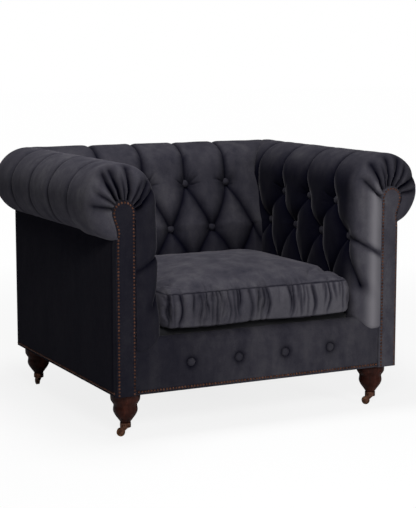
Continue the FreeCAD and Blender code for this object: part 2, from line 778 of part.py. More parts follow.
def leg():
    """A turned leg: a head under the base, a shoulder, a bulge, a taper and a tip for the caster cup."""
    outline = [
        (0, BASE_BOTTOM),
        (LEG_HEAD_RADIUS, BASE_BOTTOM),
        (LEG_HEAD_RADIUS, 106),
        (LEG_BULGE_RADIUS, 91),
        (LEG_BULGE_RADIUS, 72),
        (LEG_TIP_RADIUS, CUP_TOP),
        (LEG_TIP_RADIUS, LEG_TIP_BOTTOM),
        (0, LEG_TIP_BOTTOM),
    ]
    half = Part.Face(Part.makePolygon([V(r, 0, z) for r, z in outline + outline[:1]]))
    return half.revolve(V(0, 0, 0), V(0, 0, 1), 360)


def caster_cup():
    """The cup on the leg's tip, with the hole that the caster's stem turns in."""
    outer = Part.makeCylinder(CUP_RADIUS, CUP_TOP - CUP_BOTTOM, V(0, 0, CUP_BOTTOM))
    socket = Part.makeCylinder(LEG_TIP_RADIUS, 20, V(0, 0, LEG_TIP_BOTTOM - 3))
    stem_hole = Part.makeCylinder(STEM_RADIUS + RUNNING_CLEARANCE, 10, V(0, 0, CUP_BOTTOM - 2))
    return outer.cut([socket, stem_hole])


def caster_horn():
    """The stem, its plate, two cheeks that trail down along +X, and the axle riveted between them."""
    plate_top = CUP_BOTTOM - CHEEK_GAP
    plate_bottom = plate_top - CHEEK_THICK
    plate = frustum(V(0, 0, plate_bottom), V(0, 0, 1), 10.5, 10.5, CHEEK_THICK, 12)
    stem = Part.makeCylinder(STEM_RADIUS, 5.3, V(0, 0, plate_top))
    outline = [
        (-7, plate_bottom),
        (-7, plate_top),
        (WHEEL_TRAIL + 1, plate_top),
        (WHEEL_TRAIL + 5, WHEEL_RADIUS + 1),
        (WHEEL_TRAIL + 4, WHEEL_RADIUS - 3),
        (WHEEL_TRAIL, WHEEL_RADIUS - 5),
        (WHEEL_TRAIL - 4, WHEEL_RADIUS - 3),
    ]
    inner = WHEEL_WIDTH / 2 + CHEEK_GAP
    cheeks = []
    for start in (inner, -inner - CHEEK_THICK):
        cheeks.append(prism([V(x, start, z) for x, z in outline], V(0, CHEEK_THICK, 0)))
    length = 2 * inner + CHEEK_THICK
    axle = Part.makeCylinder(AXLE_RADIUS, length, V(WHEEL_TRAIL, -length / 2, WHEEL_RADIUS), V(0, 1, 0))
    return plate.fuse([stem, axle] + cheeks).removeSplitter()


def caster_wheel():
    """A small solid wheel, bored for its axle."""
    half = WHEEL_WIDTH / 2
    side = V(WHEEL_TRAIL, -half, WHEEL_RADIUS)
    wheel = Part.makeCylinder(WHEEL_RADIUS, WHEEL_WIDTH, side, V(0, 1, 0))
    return wheel.cut(Part.makeCylinder(AXLE_RADIUS + RUNNING_CLEARANCE, WHEEL_WIDTH, side, V(0, 1, 0)))


def main():
    os.makedirs("parts", exist_ok=True)
    timber = {
        "front_rail": front_rail(),
        "rear_rail": rear_rail(),
        "back_roll_rail": back_roll_rail(),
        "back_slat": back_slat(),
    }
    for name, side in SIDES.items():
        timber["front_post_" + name] = mirrored(front_post(), side)
        timber["rear_post_" + name] = mirrored(rear_post(), side)
        timber["side_rail_" + name] = mirrored(side_rail(), side)
        timber["arm_roll_rail_" + name] = mirrored(arm_roll_rail(), side)
        timber["arm_slat_" + name] = mirrored(arm_slat(), side)
    for name, solid in timber.items():
        put(name, [solid])
    uprights = back_uprights()
    put("back_uprights", uprights)
    put("corner_blocks", corner_blocks())
    put("leg_bolts", leg_bolts())
    put("seat_webbing", seat_webbing())
    put("deck_pad", [deck_pad()])

    arm = inside_arm([timber[n] for n in ARM_TIMBER])
    back = inside_back([timber[n] for n in BACK_TIMBER] + uprights)
    for name, side in SIDES.items():
        put("inside_arm_" + name, [mirrored(arm, side)])
        put("arm_buttons_" + name, [mirrored(b, side) for b in arm_buttons()])
        put("arm_facing_" + name, [mirrored(arm_facing(), side)])
        put("outside_arm_" + name, [mirrored(outside_arm(), side)])
    put("inside_back", [back])
    put("back_buttons", back_buttons())
    put("outside_back", [outside_back()])
    put("front_border", [front_border()])
    put("front_buttons", front_buttons())
    put("dust_cover", [dust_cover()])

    core = cushion_core()
    put("seat_cushion_core", [core])
    put("seat_cushion_cover", [cushion_form().cut(core)])

    legs = []
    cups = []
    for end, depth in LEG_DEPTHS.items():
        for name, side in SIDES.items():
            place = V(side * LEG_X, depth, 0)
            legs.append(leg().translated(place))
            cups.append(caster_cup().translated(place))
            corner = end + "_" + name
            for node, piece in (("horn", caster_horn()), ("wheel", caster_wheel())):
                piece.rotate(V(0, 0, 0), V(0, 0, 1), TRAIL_ANGLES[corner])
                put("caster_" + node + "_" + corner, [piece.translated(place)])
    put("turned_legs", legs)
    put("caster_cups", cups)


main()
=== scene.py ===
import json
import math

import bmesh
import bpy
import numpy as np
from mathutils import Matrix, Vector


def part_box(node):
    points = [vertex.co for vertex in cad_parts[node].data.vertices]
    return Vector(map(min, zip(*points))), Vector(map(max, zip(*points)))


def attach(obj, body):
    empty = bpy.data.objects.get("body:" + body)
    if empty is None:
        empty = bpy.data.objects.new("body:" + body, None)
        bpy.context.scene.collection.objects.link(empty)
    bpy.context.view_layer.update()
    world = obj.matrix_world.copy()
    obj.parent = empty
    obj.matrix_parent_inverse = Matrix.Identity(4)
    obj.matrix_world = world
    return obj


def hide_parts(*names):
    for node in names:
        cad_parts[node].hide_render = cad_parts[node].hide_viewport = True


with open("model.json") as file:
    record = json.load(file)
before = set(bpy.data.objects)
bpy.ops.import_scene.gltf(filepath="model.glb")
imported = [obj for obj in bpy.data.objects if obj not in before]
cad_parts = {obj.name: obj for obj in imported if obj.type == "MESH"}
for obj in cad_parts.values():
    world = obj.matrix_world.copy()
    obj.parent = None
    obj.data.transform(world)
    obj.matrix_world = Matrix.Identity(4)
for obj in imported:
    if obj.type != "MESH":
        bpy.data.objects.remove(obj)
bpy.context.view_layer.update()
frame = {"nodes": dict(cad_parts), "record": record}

# A tufted chesterfield armchair in dark velvet, in metres: +Z up, +Y to the back, +X to the right seen from
# the front. Depths are measured back from the front plane of the arm boards, as the CAD source does.
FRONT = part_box("front_post_left")[0][1]
SIDES = {"left": -1, "right": 1}
CHAIR = "armchair"

ROLL_RADIUS = 0.102
ROLL_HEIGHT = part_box("inside_back")[1][2] - ROLL_RADIUS
ARM_ROLL_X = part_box("inside_arm_right")[1][0] - 0.108
BACK_ROLL_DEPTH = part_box("inside_back")[1][1] - FRONT - ROLL_RADIUS
ARM_FOOT = (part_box("inside_arm_right")[0][0], 0.283)
NOSE_RADIUS = 0.105
NOSE_SHIFT = 0.003
NOSE_SWELL = 0.012
NOSE_CENTRE = (ARM_ROLL_X + NOSE_SHIFT, ROLL_HEIGHT - NOSE_SHIFT)
CORNER_RADIUS = ROLL_RADIUS + 0.002
NOSE_END = 0.162
PANEL_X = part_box("outside_arm_right")[1][0]
PANEL_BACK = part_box("outside_back")[1][1] - FRONT
BASE_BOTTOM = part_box("outside_arm_right")[0][2]
FACING_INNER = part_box("arm_facing_right")[0][0]
ARCH_RADIUS = 0.035
ARCH_CENTRE = (FACING_INNER + ARCH_RADIUS, 0.636)
BACK_FOOT = (0.560, 0.290)
BACK_WAIST = (0.590, 0.512)
GRID = 0.003

ARM_ROWS = [(0.620, [0.162, 0.319, 0.475]), (0.520, [0.083, 0.240, 0.398, 0.556])]
ARM_PLEATS = [0.162, 0.319, 0.475, 0.632]
BACK_ROWS = [(0.640, [-0.2235, -0.0745, 0.0745, 0.2235]), (0.500, [-0.149, 0.0, 0.149])]
BACK_EDGE_X = 0.298
LOW_ROW = 0.385
BORDER_BUTTONS = [-0.228, -0.076, 0.076, 0.228]
BORDER_BUTTON_HEIGHT = 0.205
# Painted shade by place, from 0 for none to 1 as dark as in a fold, and painted highlight by place
PAINTED_SHADE = {
    "outer": 0.90,
    "inner": 0.90,
    "left_front": 0.74,
    "right_roll": 0.22,
    "back": 0.22,
    "seat_line": 0.55,
    "border": 0.30,
    "border_left": 0.40,
    "button": 0.45,
}
PAINTED_HIGHLIGHT = {"right_front": 0.85, "boxing": 0.25}
LEGS = {"front": 0.054, "rear": 0.749}
LEG_X = 0.407


# Finishes
class Value:
    """A shader value. Arithmetic on it adds Math nodes."""

    def __init__(self, finish, socket):
        self.finish = finish
        self.socket = socket

    def math(self, operation, *values):
        return self.finish.node("ShaderNodeMath", {"operation": operation}, dict(enumerate(values)))

    def __add__(self, other):
        return self.math("ADD", self, other)

    def __mul__(self, other):
        return self.math("MULTIPLY", self, other)

    def __pow__(self, other):
        return self.math("POWER", self, other)

    __radd__ = __add__
    __rmul__ = __mul__

    def clamped(self):
        return self.finish.node("ShaderNodeClamp", {}, {"Value": self})


class Finish:
    """A material built round one Principled shader, whose constant sockets are set by name."""

    def __init__(self, name, **constants):
        self.material = bpy.data.materials.new(name)
        self.material.use_nodes = True
        self.tree = self.material.node_tree
        self.shader = self.tree.nodes["Principled BSDF"]
        for socket, value in constants.items():
            self.shader.inputs[socket.replace("_", " ")].default_value = value

    def node(self, kind, settings, sockets, output=0):
        """Add a node: its settings first, a ramp's stops among them, then its sockets' values or links."""
        node = self.tree.nodes.new(kind)
        for name, value in settings.items():
            if name == "stops":
                ramp = node.color_ramp
                while len(ramp.elements) < len(value):
                    ramp.elements.new(0.5)
                for element, (place, colour) in zip(ramp.elements, value):
                    element.position = place
                    element.color = (*colour, 1)
            else:
                setattr(node, name, value)
        for name, value in sockets.items():
            if isinstance(value, Value):
                self.tree.links.new(value.socket, node.inputs[name])
            else:
                node.inputs[name].default_value = value
        return Value(self, node.outputs[output])

    def noise(self, where, scale, detail=3.0, rough=0.5, stretch=None):
        if stretch:
            where = self.node("ShaderNodeMapping", {}, {"Vector": where, "Scale": stretch})
        sockets = {"Vector": where, "Scale": scale, "Detail": detail, "Roughness": rough}
        return self.node("ShaderNodeTexNoise", {}, sockets)

    def ramp(self, value, stops):
        return self.node("ShaderNodeValToRGB", {"stops": stops}, {"Fac": value})

    def mixed(self, amount, first, second):
        sockets = {0: amount, 6: first, 7: second}
        return self.node("ShaderNodeMix", {"data_type": "RGBA"}, sockets, output=2)

    def bump(self, height, distance, strength=1.0, under=None):
        sockets = {"Height": height, "Distance": distance, "Strength": strength}
        if under:
            sockets["Normal"] = under
        return self.node("ShaderNodeBump", {}, sockets)

    def attribute(self, name):
        return self.node("ShaderNodeAttribute", {"attribute_name": name}, {}, output=2)

    @property
    def place(self):
        return self.node("ShaderNodeTexCoord", {}, {}, output=3)

    def give(self, **links):
        for socket, value in links.items():
            self.tree.links.new(value.socket, self.shader.inputs[socket.replace("_", " ")])
        return self.material


# Colours of the painted shade and the painted highlight on the velvet
VELVET_SHADE_COLOUR = (0.0012, 0.0013, 0.0045, 1)
VELVET_HIGHLIGHT_COLOUR = (0.170, 0.163, 0.178, 1)
VELVET_LIE = [
    (0.34, (0.018, 0.018, 0.026)), (0.50, (0.044, 0.042, 0.052)), (0.68, (0.085, 0.082, 0.090)),
]


def velvet():
    """Short-napped velvet, its tone varying at random, with light painted in by the shade attribute: towards
    1, as in a fold, a painted shade of near black navy, and towards -1 a painted highlight of grey."""
    f = Finish(
        "velvet",
        Sheen_Weight=0.12,
        Sheen_Roughness=0.30,
        Sheen_Tint=(0.55, 0.53, 0.58, 1),
        Specular_IOR_Level=0.0,
    )
    where = f.place
    streaks = f.noise(where, 16.0, 4.0, 0.6, stretch=(1, 1, 0.3))
    patches = f.noise(where, 38.0, 3.0, 0.55)
    speckle = f.noise(where, 420.0, 2.0, 0.6)
    lie = streaks * 0.35 + patches * 0.15 + speckle * 0.20 + 0.15
    # The shade attribute holds painted shade above 0 and painted highlight below 0
    shade = f.attribute("shade")
    highlighted = f.mixed((shade * -1.0).clamped(), f.ramp(lie, VELVET_LIE), VELVET_HIGHLIGHT_COLOUR)
    pile = f.bump(speckle, 0.0004, 0.5)
    return f.give(
        Base_Color=f.mixed(shade.clamped(), highlighted, VELVET_SHADE_COLOUR),
        Roughness=0.80 + lie * 0.2,
        Normal=f.bump(patches, 0.0012, 0.5, pile),
    )


def plain_cloth(name, dark, light, thread):
    """A plain-woven cloth: two crossed waves of thread, and a slow change of shade."""
    f = Finish(name, Sheen_Weight=0.2, Specular_IOR_Level=0.2)
    where = f.place
    threads = {"Vector": where, "Scale": thread}
    along = f.node("ShaderNodeTexWave", {"bands_direction": "X"}, threads, output=1)
    across = f.node("ShaderNodeTexWave", {"bands_direction": "Y"}, threads, output=1)
    weave = along * across
    shade = f.noise(where, 14.0) * 0.6 + weave * 0.4
    colour = f.ramp(shade, [(0.2, dark), (0.8, light)])
    return f.give(Base_Color=colour, Roughness=0.85 + weave * 0.1, Normal=f.bump(weave, 0.0003))


STAIN = [(0.3, (0.006, 0.002, 0.0015)), (0.52, (0.028, 0.007, 0.0045)), (0.72, (0.070, 0.020, 0.012))]
STAINED_PORE = (0.008, 0.003, 0.002, 1)


def stained_wood():
    """Turned legs: dark red-brown stain over close grain, worn a little lighter, under a thin lacquer."""
    f = Finish("stained_wood", Coat_Weight=0.02, Coat_Roughness=0.25, Specular_IOR_Level=0.07)
    where = f.place
    grain = f.noise(where, 30.0, 6.0, 0.65, stretch=(1, 1, 0.12))
    pores = f.noise(where, 260.0, 2.0, 0.5, stretch=(1, 1, 0.06))
    return f.give(
        Base_Color=f.mixed(pores ** 3.0, f.ramp(grain, STAIN), STAINED_PORE),
        Roughness=0.30 + grain * 0.2,
        Normal=f.bump(pores, 0.0002, 0.4),
    )


def sawn_wood():
    """Frame timber: pale long grain, with the waves that a saw leaves."""
    f = Finish("sawn_wood", Specular_IOR_Level=0.3)
    where = f.place
    grain = f.noise(where, 12.0, 6.0, 0.6, stretch=(0.3, 1, 1))
    cuts = {"Vector": where, "Scale": 60.0, "Distortion": 2.0}
    saw = f.node("ShaderNodeTexWave", {"bands_direction": "X"}, cuts, output=1)
    colour = f.ramp(grain, [(0.3, (0.33, 0.20, 0.10)), (0.7, (0.55, 0.38, 0.22))])
    return f.give(Base_Color=colour, Roughness=0.7 + grain * 0.2, Normal=f.bump(saw, 0.0003, 0.4))


def bronze(name, dark, light, rough):
    """Antique bronze: brown in the hollows, coppery where it is rubbed."""
    f = Finish(name, Metallic=1.0)
    where = f.place
    tarnish = f.noise(where, 90.0, 5.0, 0.65)
    spots = f.noise(where, 700.0, 2.0, 0.5)
    return f.give(
        Base_Color=f.ramp(tarnish, [(0.35, dark), (0.65, light)]),
        Roughness=rough + tarnish * 0.25,
        Normal=f.bump(spots, 0.0001, 0.4),
    )


def plain_grain(name, noise, dark, light, rough, bump, **constants):
    """A material whose colour, roughness and bump all follow one noise."""
    f = Finish(name, **constants)
    grain = f.noise(f.place, *noise)
    colour = f.ramp(grain, [(0.3, dark), (0.7, light)])
    return f.give(Base_Color=colour, Roughness=rough[0] + grain * rough[1], Normal=f.bump(grain, *bump))


ZINC = ((160.0, 3.0, 0.6), (0.42, 0.42, 0.43), (0.62, 0.62, 0.62), (0.3, 0.2), (0.0001, 0.3))
WADDING = ((120.0, 6.0, 0.7), (0.62, 0.55, 0.36), (0.80, 0.74, 0.56), (0.9, 0.05), (0.002, 0.6))


FINISHES = {
    "velvet": velvet(),
    "foam": plain_grain("wadding", *WADDING, Specular_IOR_Level=0.1, Sheen_Weight=0.3),
    "lining_cloth": plain_cloth("black_lining", (0.008, 0.008, 0.010), (0.025, 0.025, 0.028), 220.0),
    "webbing": plain_cloth("webbing", (0.22, 0.16, 0.09), (0.42, 0.33, 0.20), 90.0),
    "frame_timber": sawn_wood(),
    "turned_wood": stained_wood(),
    "steel": plain_grain("zinc_steel", *ZINC, Metallic=1.0),
    "antique_bronze": bronze("antique_bronze", (0.040, 0.018, 0.012), (0.20, 0.095, 0.062), 0.30),
    "wheel_bronze": bronze("wheel_bronze", (0.035, 0.018, 0.011), (0.20, 0.10, 0.055), 0.34),
}
NAIL_FINISH = bronze("nail_bronze", (0.030, 0.014, 0.010), (0.13, 0.060, 0.040), 0.36)


# Surfaces
def cells(length):
    """How many lines of the grid a length gets."""
    return int(length / GRID)


def outward_normals(points, sense):
    """Unit normals of a grid: the cross product of its two directions, times a sense of 1 or -1."""
    across = np.cross(np.gradient(points, axis=0), np.gradient(points, axis=1))
    return sense * across / np.maximum(np.linalg.norm(across, axis=2, keepdims=True), 1e-12)


def grid_faces(rows, columns, start, flip):
    """The corner numbers of a grid's quads, in rows."""
    i, j = np.meshgrid(np.arange(rows - 1), np.arange(columns - 1), indexing="ij")
    first = (start + i * columns + j).ravel()
    quads = np.stack([first, first + columns, first + columns + 1, first + 1], axis=1)
    return quads[:, ::-1] if flip else quads


WELD = 0.00003


def in_scene(name, data):
    thing = bpy.data.objects.new(name, data)
    bpy.context.scene.collection.objects.link(thing)
    return thing


def piece(name, grids, slot, replaces=(), finish=None, body=CHAIR, mirror=False, closed=False):
    """Make one object of several grids, welded where they meet. Each grid is (points, sense) or (points,
    sense, painted shade, which below 0 is painted highlight). A closed piece gets its outward side worked
    out from its shape."""
    points, faces, painted_shades, count = [], [], [], 0
    for grid, sense, *away in grids:
        rows, columns = grid.shape[:2]
        points.append(grid.reshape(-1, 3))
        painted_shades.append(np.broadcast_to(away[0] if away else 0.0, (rows, columns)).ravel())
        faces.append(grid_faces(rows, columns, count, (sense < 0) != mirror))
        count += rows * columns
    points = np.concatenate(points)
    if mirror:
        points = points * (-1, 1, 1)
    mesh = bpy.data.meshes.new(name)
    mesh.from_pydata(points.tolist(), [], np.concatenate(faces).tolist())
    # The painted shade and painted highlight of the grids go to the shade attribute
    shade = mesh.attributes.new("shade", "FLOAT", "POINT")
    shade.data.foreach_set("value", np.concatenate(painted_shades).astype(np.float32))
    work = bmesh.new()
    work.from_mesh(mesh)
    bmesh.ops.remove_doubles(work, verts=work.verts, dist=WELD)
    if closed:
        bmesh.ops.recalc_face_normals(work, faces=work.faces)
    work.to_mesh(mesh)
    work.free()
    mesh.shade_smooth()
    mesh.materials.append(finish or FINISHES[slot])
    thing = in_scene(name, mesh)
    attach(thing, body)
    if replaces:
        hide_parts(*replaces)
    return thing


def darker(base, fold):
    """Painted shade of a surface, made darker towards 1 where folds lie over it."""
    return base + (1 - base) * fold


def smoothstep(low, high, x):
    t = np.clip((x - low) / (high - low), 0, 1)
    return t * t * (3 - 2 * t)


FULL_LINE_DEPTH = 0.008
LINE_SHADE = 0.95
SHADE_FROM, SHADE_OVER = 0.003, 0.011


def creased(a, b, folds):
    """The depth of the deepest fold at each place (a, b) of a padded surface.
    A fold is (a0, b0, a1, b1, half width, depth at the start, at the end, middle, bow). Along it the depth
    is that of a straight line from end to end, times 1 - (1 - middle) * sin(pi t), and it bows sideways by
    bow * sin(pi t). Across it, with n = 1 - distance / half width, the padding is drawn in by the mean of an
    ellipse's quarter, 1 - sqrt(1 - n^2), and of n^2. The second result is painted shade: strong in deep
    places, and in a thin line of n^2.5 along every fold, less along a shallow one."""
    deepest = np.zeros_like(a)
    line = np.zeros_like(a)
    for a0, b0, a1, b1, width, depth_0, depth_1, middle, bow in folds:
        run_a, run_b = a1 - a0, b1 - b0
        length = math.hypot(run_a, run_b)
        t = ((a - a0) * run_a + (b - b0) * run_b) / length ** 2
        past = np.maximum(np.maximum(-t, t - 1), 0) * length
        t = np.clip(t, 0, 1)
        arch = np.sin(math.pi * t)
        beside = ((b - b0) * run_a - (a - a0) * run_b) / length - bow * arch
        n = 1 - np.clip(np.hypot(beside, past) / width, 0, 1)
        depth = (depth_0 + (depth_1 - depth_0) * t) * (1 - (1 - middle) * arch)
        deepest = np.maximum(deepest, depth * (0.5 * (1 - np.sqrt(1 - n ** 2)) + 0.5 * n ** 2))
        line = np.maximum(line, n ** 2.5 * np.clip(depth / FULL_LINE_DEPTH, 0, 1))
    in_deep = np.clip((deepest - SHADE_FROM) / SHADE_OVER, 0, 1) ** 1.2
    return deepest, np.maximum(in_deep, LINE_SHADE * line)


HOLLOW = 0.013
HOLLOW_SHADE = 0.9
HOLLOW_REACH = 0.032


def pulled(a, b, buttons, depth=HOLLOW, reach=HOLLOW_REACH):
    """How far buttons pull a surface in: a round hollow depth * exp(-(distance / reach)^2) at each."""
    total = np.zeros_like(a)
    for a0, b0 in buttons:
        total += depth * np.exp(-((a - a0) ** 2 + (b - b0) ** 2) / reach ** 2)
    return total


def ripples(a, b, size, seed):
    """A slow unevenness of stuffing: a sum of six sine waves of random direction and phase."""
    random = np.random.default_rng(seed)
    total = np.zeros_like(a)
    for _ in range(6):
        turn, phase = random.uniform(0, 2 * math.pi, 2)
        length = random.uniform(0.05, 0.13)
        total += np.sin(2 * math.pi * (a * math.cos(turn) + b * math.sin(turn)) / length + phase)
    return size * total / 6


def starbursts(buttons, seed, count=9, reach=0.052):
    """Short fine creases that run out from each button."""
    random = np.random.default_rng(seed)
    folds = []
    for a, b in buttons:
        for i in range(count):
            turn = 2 * math.pi * (i + random.uniform(-0.3, 0.3)) / count
            length = reach * random.uniform(0.6, 1.2)
            end_a, end_b = a + length * math.cos(turn), b + length * math.sin(turn)
            bow = random.uniform(-0.004, 0.004)
            width = random.uniform(0.007, 0.012)
            depth = random.uniform(0.010, 0.018)
            folds.append((a, b, end_a, end_b, width, depth, 0.0, 1.0, bow))
    return folds


# Arms
def tangent_angle(point, centre):
    """The angle at which a line from a point below meets the near side of the roll."""
    away = (centre[0] - point[0], centre[1] - point[1])
    heading = math.atan2(away[1], away[0]) + math.asin(ROLL_RADIUS / math.hypot(*away))
    return heading + math.pi / 2


def roll_point(centre, angle):
    """The point of a roll's circle at an angle."""
    return centre[0] + ROLL_RADIUS * math.cos(angle), centre[1] + ROLL_RADIUS * math.sin(angle)


ARM_ROLL = (ARM_ROLL_X, ROLL_HEIGHT)
BACK_ROLL = (BACK_ROLL_DEPTH, ROLL_HEIGHT)
ARM_TURN = tangent_angle(ARM_FOOT, ARM_ROLL)
BACK_TURN = tangent_angle(BACK_WAIST, BACK_ROLL)
ARM_TOP = roll_point(ARM_ROLL, ARM_TURN)
BACK_TOP = roll_point(BACK_ROLL, BACK_TURN)
ARM_WALL = math.dist(ARM_FOOT, ARM_TOP)
BACK_LOW = math.dist(BACK_FOOT, BACK_WAIST)
BACK_WALL = BACK_LOW + math.dist(BACK_WAIST, BACK_TOP)
ARM_UNDER = math.radians(-80)
BACK_UNDER = math.radians(-70)
# The rim is where the swollen front turns back into the pad, and the cap is the front's run up to it.
# PUFF is the depth of folds and buttons.
RIM_DEPTH = 0.040
CAP = 0.085
PUFF = 0.017
PLEAT = 0.0100
# Half width, depth at the start and at the end, middle and bow of a fold, as creased takes them
WALL_FOLD = (0.054, PUFF, PUFF, 0.62)
WALL_PLEAT = (0.036, PUFF, 0.010, 0.9, 0.003)
ROLL_PLEAT = (0.020, 0.012, PLEAT, 1.0, 0.0)
BOARD_FOLD = (0.026, PUFF, 0.006, 0.8, 0.0)
PLEAT_LAP = (0.01, 0.03)
ARM_HALF_PITCH, ARM_BOW = 0.079, 0.006
BACK_HALF_PITCH, BACK_BOW = 0.0745, 0.007
FOOT_TUCK = 0.016
ROLL_BLEND = 0.94
NOSE_FADE = 0.02
NOSE_SAG = 0.012
TUCK_FOOT, TUCK_EDGE = 0.030, 0.007
WALL_OVERLAP = 0.014
MITRE_OVERLAP = 0.008
MITRE_WIDTH, MITRE_DEPTH = 0.030, 0.010
STUFFING = 0.0012
PROUD = 0.002
LOOSE_EDGE, LOOSE_SHARE = 0.05, 0.3
# Place and half width of the painted highlight on the right arm's front
HIGHLIGHT_PLACE, HIGHLIGHT_WIDTH = -0.071, 0.015


def arm_reach(height):
    """How far along the arm's section a height of its inner face is."""
    return ARM_WALL * (height - ARM_FOOT[1]) / (ARM_TOP[1] - ARM_FOOT[1])


def arm_section(s, centre, radius):
    """X and height along the arm's section: the straight inner face, then an arc round the roll."""
    up = np.clip(s / ARM_WALL, -0.2, 1)
    angle = ARM_TURN - np.maximum(s - ARM_WALL, 0) / ROLL_RADIUS
    shift = np.clip((s - ARM_WALL * 0.8) / (0.2 * ARM_WALL), 0, 1)
    wall_x = ARM_FOOT[0] + (ARM_TOP[0] - ARM_FOOT[0]) * up
    wall_z = ARM_FOOT[1] + (ARM_TOP[1] - ARM_FOOT[1]) * up
    roll_x = centre[0] + radius * np.cos(angle)
    roll_z = centre[1] + radius * np.sin(angle)
    ease_x = shift * (centre[0] + radius * math.cos(ARM_TURN) - ARM_TOP[0])
    ease_z = shift * (centre[1] + radius * math.sin(ARM_TURN) - ARM_TOP[1])
    on_roll = s > ARM_WALL
    return np.where(on_roll, roll_x, wall_x + ease_x), np.where(on_roll, roll_z, wall_z + ease_z), angle


def back_depth(height):
    """The depth of the inside back's face at a height, below and above its waist."""
    low = (height - BACK_FOOT[1]) / (BACK_WAIST[1] - BACK_FOOT[1])
    high = (height - BACK_WAIST[1]) / (BACK_TOP[1] - BACK_WAIST[1])
    below = BACK_FOOT[0] + (BACK_WAIST[0] - BACK_FOOT[0]) * low
    above = BACK_WAIST[0] + (BACK_TOP[0] - BACK_WAIST[0]) * high
    return np.where(height < BACK_WAIST[1], below, above)


ARCH_SWEEP = math.radians(200)
ARCH_END = math.radians(-20)
ARCH_LEAVES = math.radians(-40)
ARCH_FOOT = 0.245


def arch_target(s, angle):
    """Where each line of the swollen front ends on the edge of the slim arm board: up its inner side, round
    the arch in step with the roll's angle, then down to the waist below the arch."""
    up = np.clip(s / ARM_WALL, -0.2, 1)
    inner_z = ARCH_FOOT + (ARCH_CENTRE[1] - ARCH_FOOT) * up
    turn = math.pi - (ARM_TURN - angle) * ARCH_SWEEP / (ARM_TURN - ARCH_LEAVES)
    turn = np.maximum(turn, ARCH_END)
    arch_x = ARCH_CENTRE[0] + ARCH_RADIUS * np.cos(turn)
    arch_z = ARCH_CENTRE[1] + ARCH_RADIUS * np.sin(turn)
    down = np.clip((ARCH_LEAVES - angle) / (ARCH_LEAVES - ARM_UNDER), 0, 1)
    arch_x = arch_x - 0.013 * np.sin(down * math.pi / 2)
    arch_z = arch_z - 0.055 * down
    on_roll = s > ARM_WALL
    return np.where(on_roll, arch_x, FACING_INNER), np.where(on_roll, arch_z, inner_z)


# Degrees round the roll's end, and size, of each gather
GATHERS = {
    "left": [
        (70, 1.0), (50, 1.0), (107, 0.95), (150, 0.85), (168, 0.9), (128, 0.35), (30, 0.4), (4, 0.6),
        (88, 0.3),
    ],
    "right": [(132, 0.95), (96, 0.8), (74, 0.9), (52, 0.5), (29, 0.95), (168, 0.7), (114, 0.3), (4, 0.5)],
}


def pleat(a, row, wall, end):
    """A pleat from a button up the face, and the pleat that goes on from it over the roll."""
    return [(a, row, a, wall + PLEAT_LAP[1], *WALL_PLEAT), (a, wall + PLEAT_LAP[0], a, end, *ROLL_PLEAT)]


def arm_folds(side):
    """The folds and buttons of one arm, in depth behind the rim and distance along the section: pleats over
    the roll, diagonals between the buttons, the fold to the arm board, and the gathers round the arch."""
    row_1, row_2 = arm_reach(ARM_ROWS[0][0]), arm_reach(ARM_ROWS[1][0])
    low = arm_reach(LOW_ROW)
    end = ARM_WALL + ROLL_RADIUS * (ARM_TURN - ARM_UNDER)
    folds = []
    for d in ARM_PLEATS:
        folds += pleat(d - RIM_DEPTH, row_1, ARM_WALL, end)
    random = np.random.default_rng(31 if side == "left" else 32)
    for row, start, stop in ((ARM_PLEATS, row_1, row_2), (ARM_ROWS[1][1], row_2, low)):
        for d in row:
            for other in (d - ARM_HALF_PITCH, d + ARM_HALF_PITCH):
                bow = random.uniform(-ARM_BOW, ARM_BOW)
                folds.append((d - RIM_DEPTH, start, other - RIM_DEPTH, stop, *WALL_FOLD, bow))
    folds.append((ARM_ROWS[1][1][0] - RIM_DEPTH, row_2, -CAP, arm_reach(0.505), *BOARD_FOLD))
    for degrees, size in GATHERS[side]:
        at = ARM_WALL + ROLL_RADIUS * (ARM_TURN - math.radians(degrees))
        lean = 0.02 * math.sin(degrees * 7.0)
        stop = -CAP * (0.50 - 0.55 * size)
        width, depth = 0.022 + 0.018 * size, 0.022 * size + 0.002
        folds.append((-CAP, at, stop, at + lean, width, depth, 0.0, 1.3, 0.004))
    buttons = [(d - RIM_DEPTH, arm_reach(z)) for z, row in ARM_ROWS for d in row]
    return folds + starbursts(buttons, 11 if side == "left" else 12), buttons


def past_mitre(s, wall):
    """How far a roll runs on past its mitre, down to nothing on the outer side."""
    return MITRE_OVERLAP * (1 - smoothstep(wall + 0.10, wall + 0.15, s))


def tufted(grid, sense, a, b, folds, buttons, to_mitre, wall, total, seed):
    """Draw a grid in along its normals by folds, hollows, the mitre's seam and the stuffing's ripples, less
    at its foot and at its loose edge. Gives the points, and the painted shade of its folds and hollows."""
    depth_in, shade = creased(a, b, folds)
    hollow = pulled(a, b, buttons)
    shade = np.maximum(shade, HOLLOW_SHADE * hollow / HOLLOW)
    from_mitre = to_mitre * 0.7 + 0.05 * smoothstep(wall + 0.12, wall + 0.19, b)
    near = 1 - np.clip(from_mitre / MITRE_WIDTH, 0, 1)
    depth_in = np.maximum(depth_in, MITRE_DEPTH * (1 - np.sqrt(1 - near ** 2)))
    at_foot = smoothstep(0.0, LOOSE_EDGE, b)
    inset = (depth_in + hollow) * at_foot - PROUD + ripples(a, b, STUFFING, seed) * at_foot
    inset = inset * (LOOSE_SHARE + (1 - LOOSE_SHARE) * smoothstep(0.0, LOOSE_EDGE, total - b))
    return grid - outward_normals(grid, sense) * inset[..., None], shade


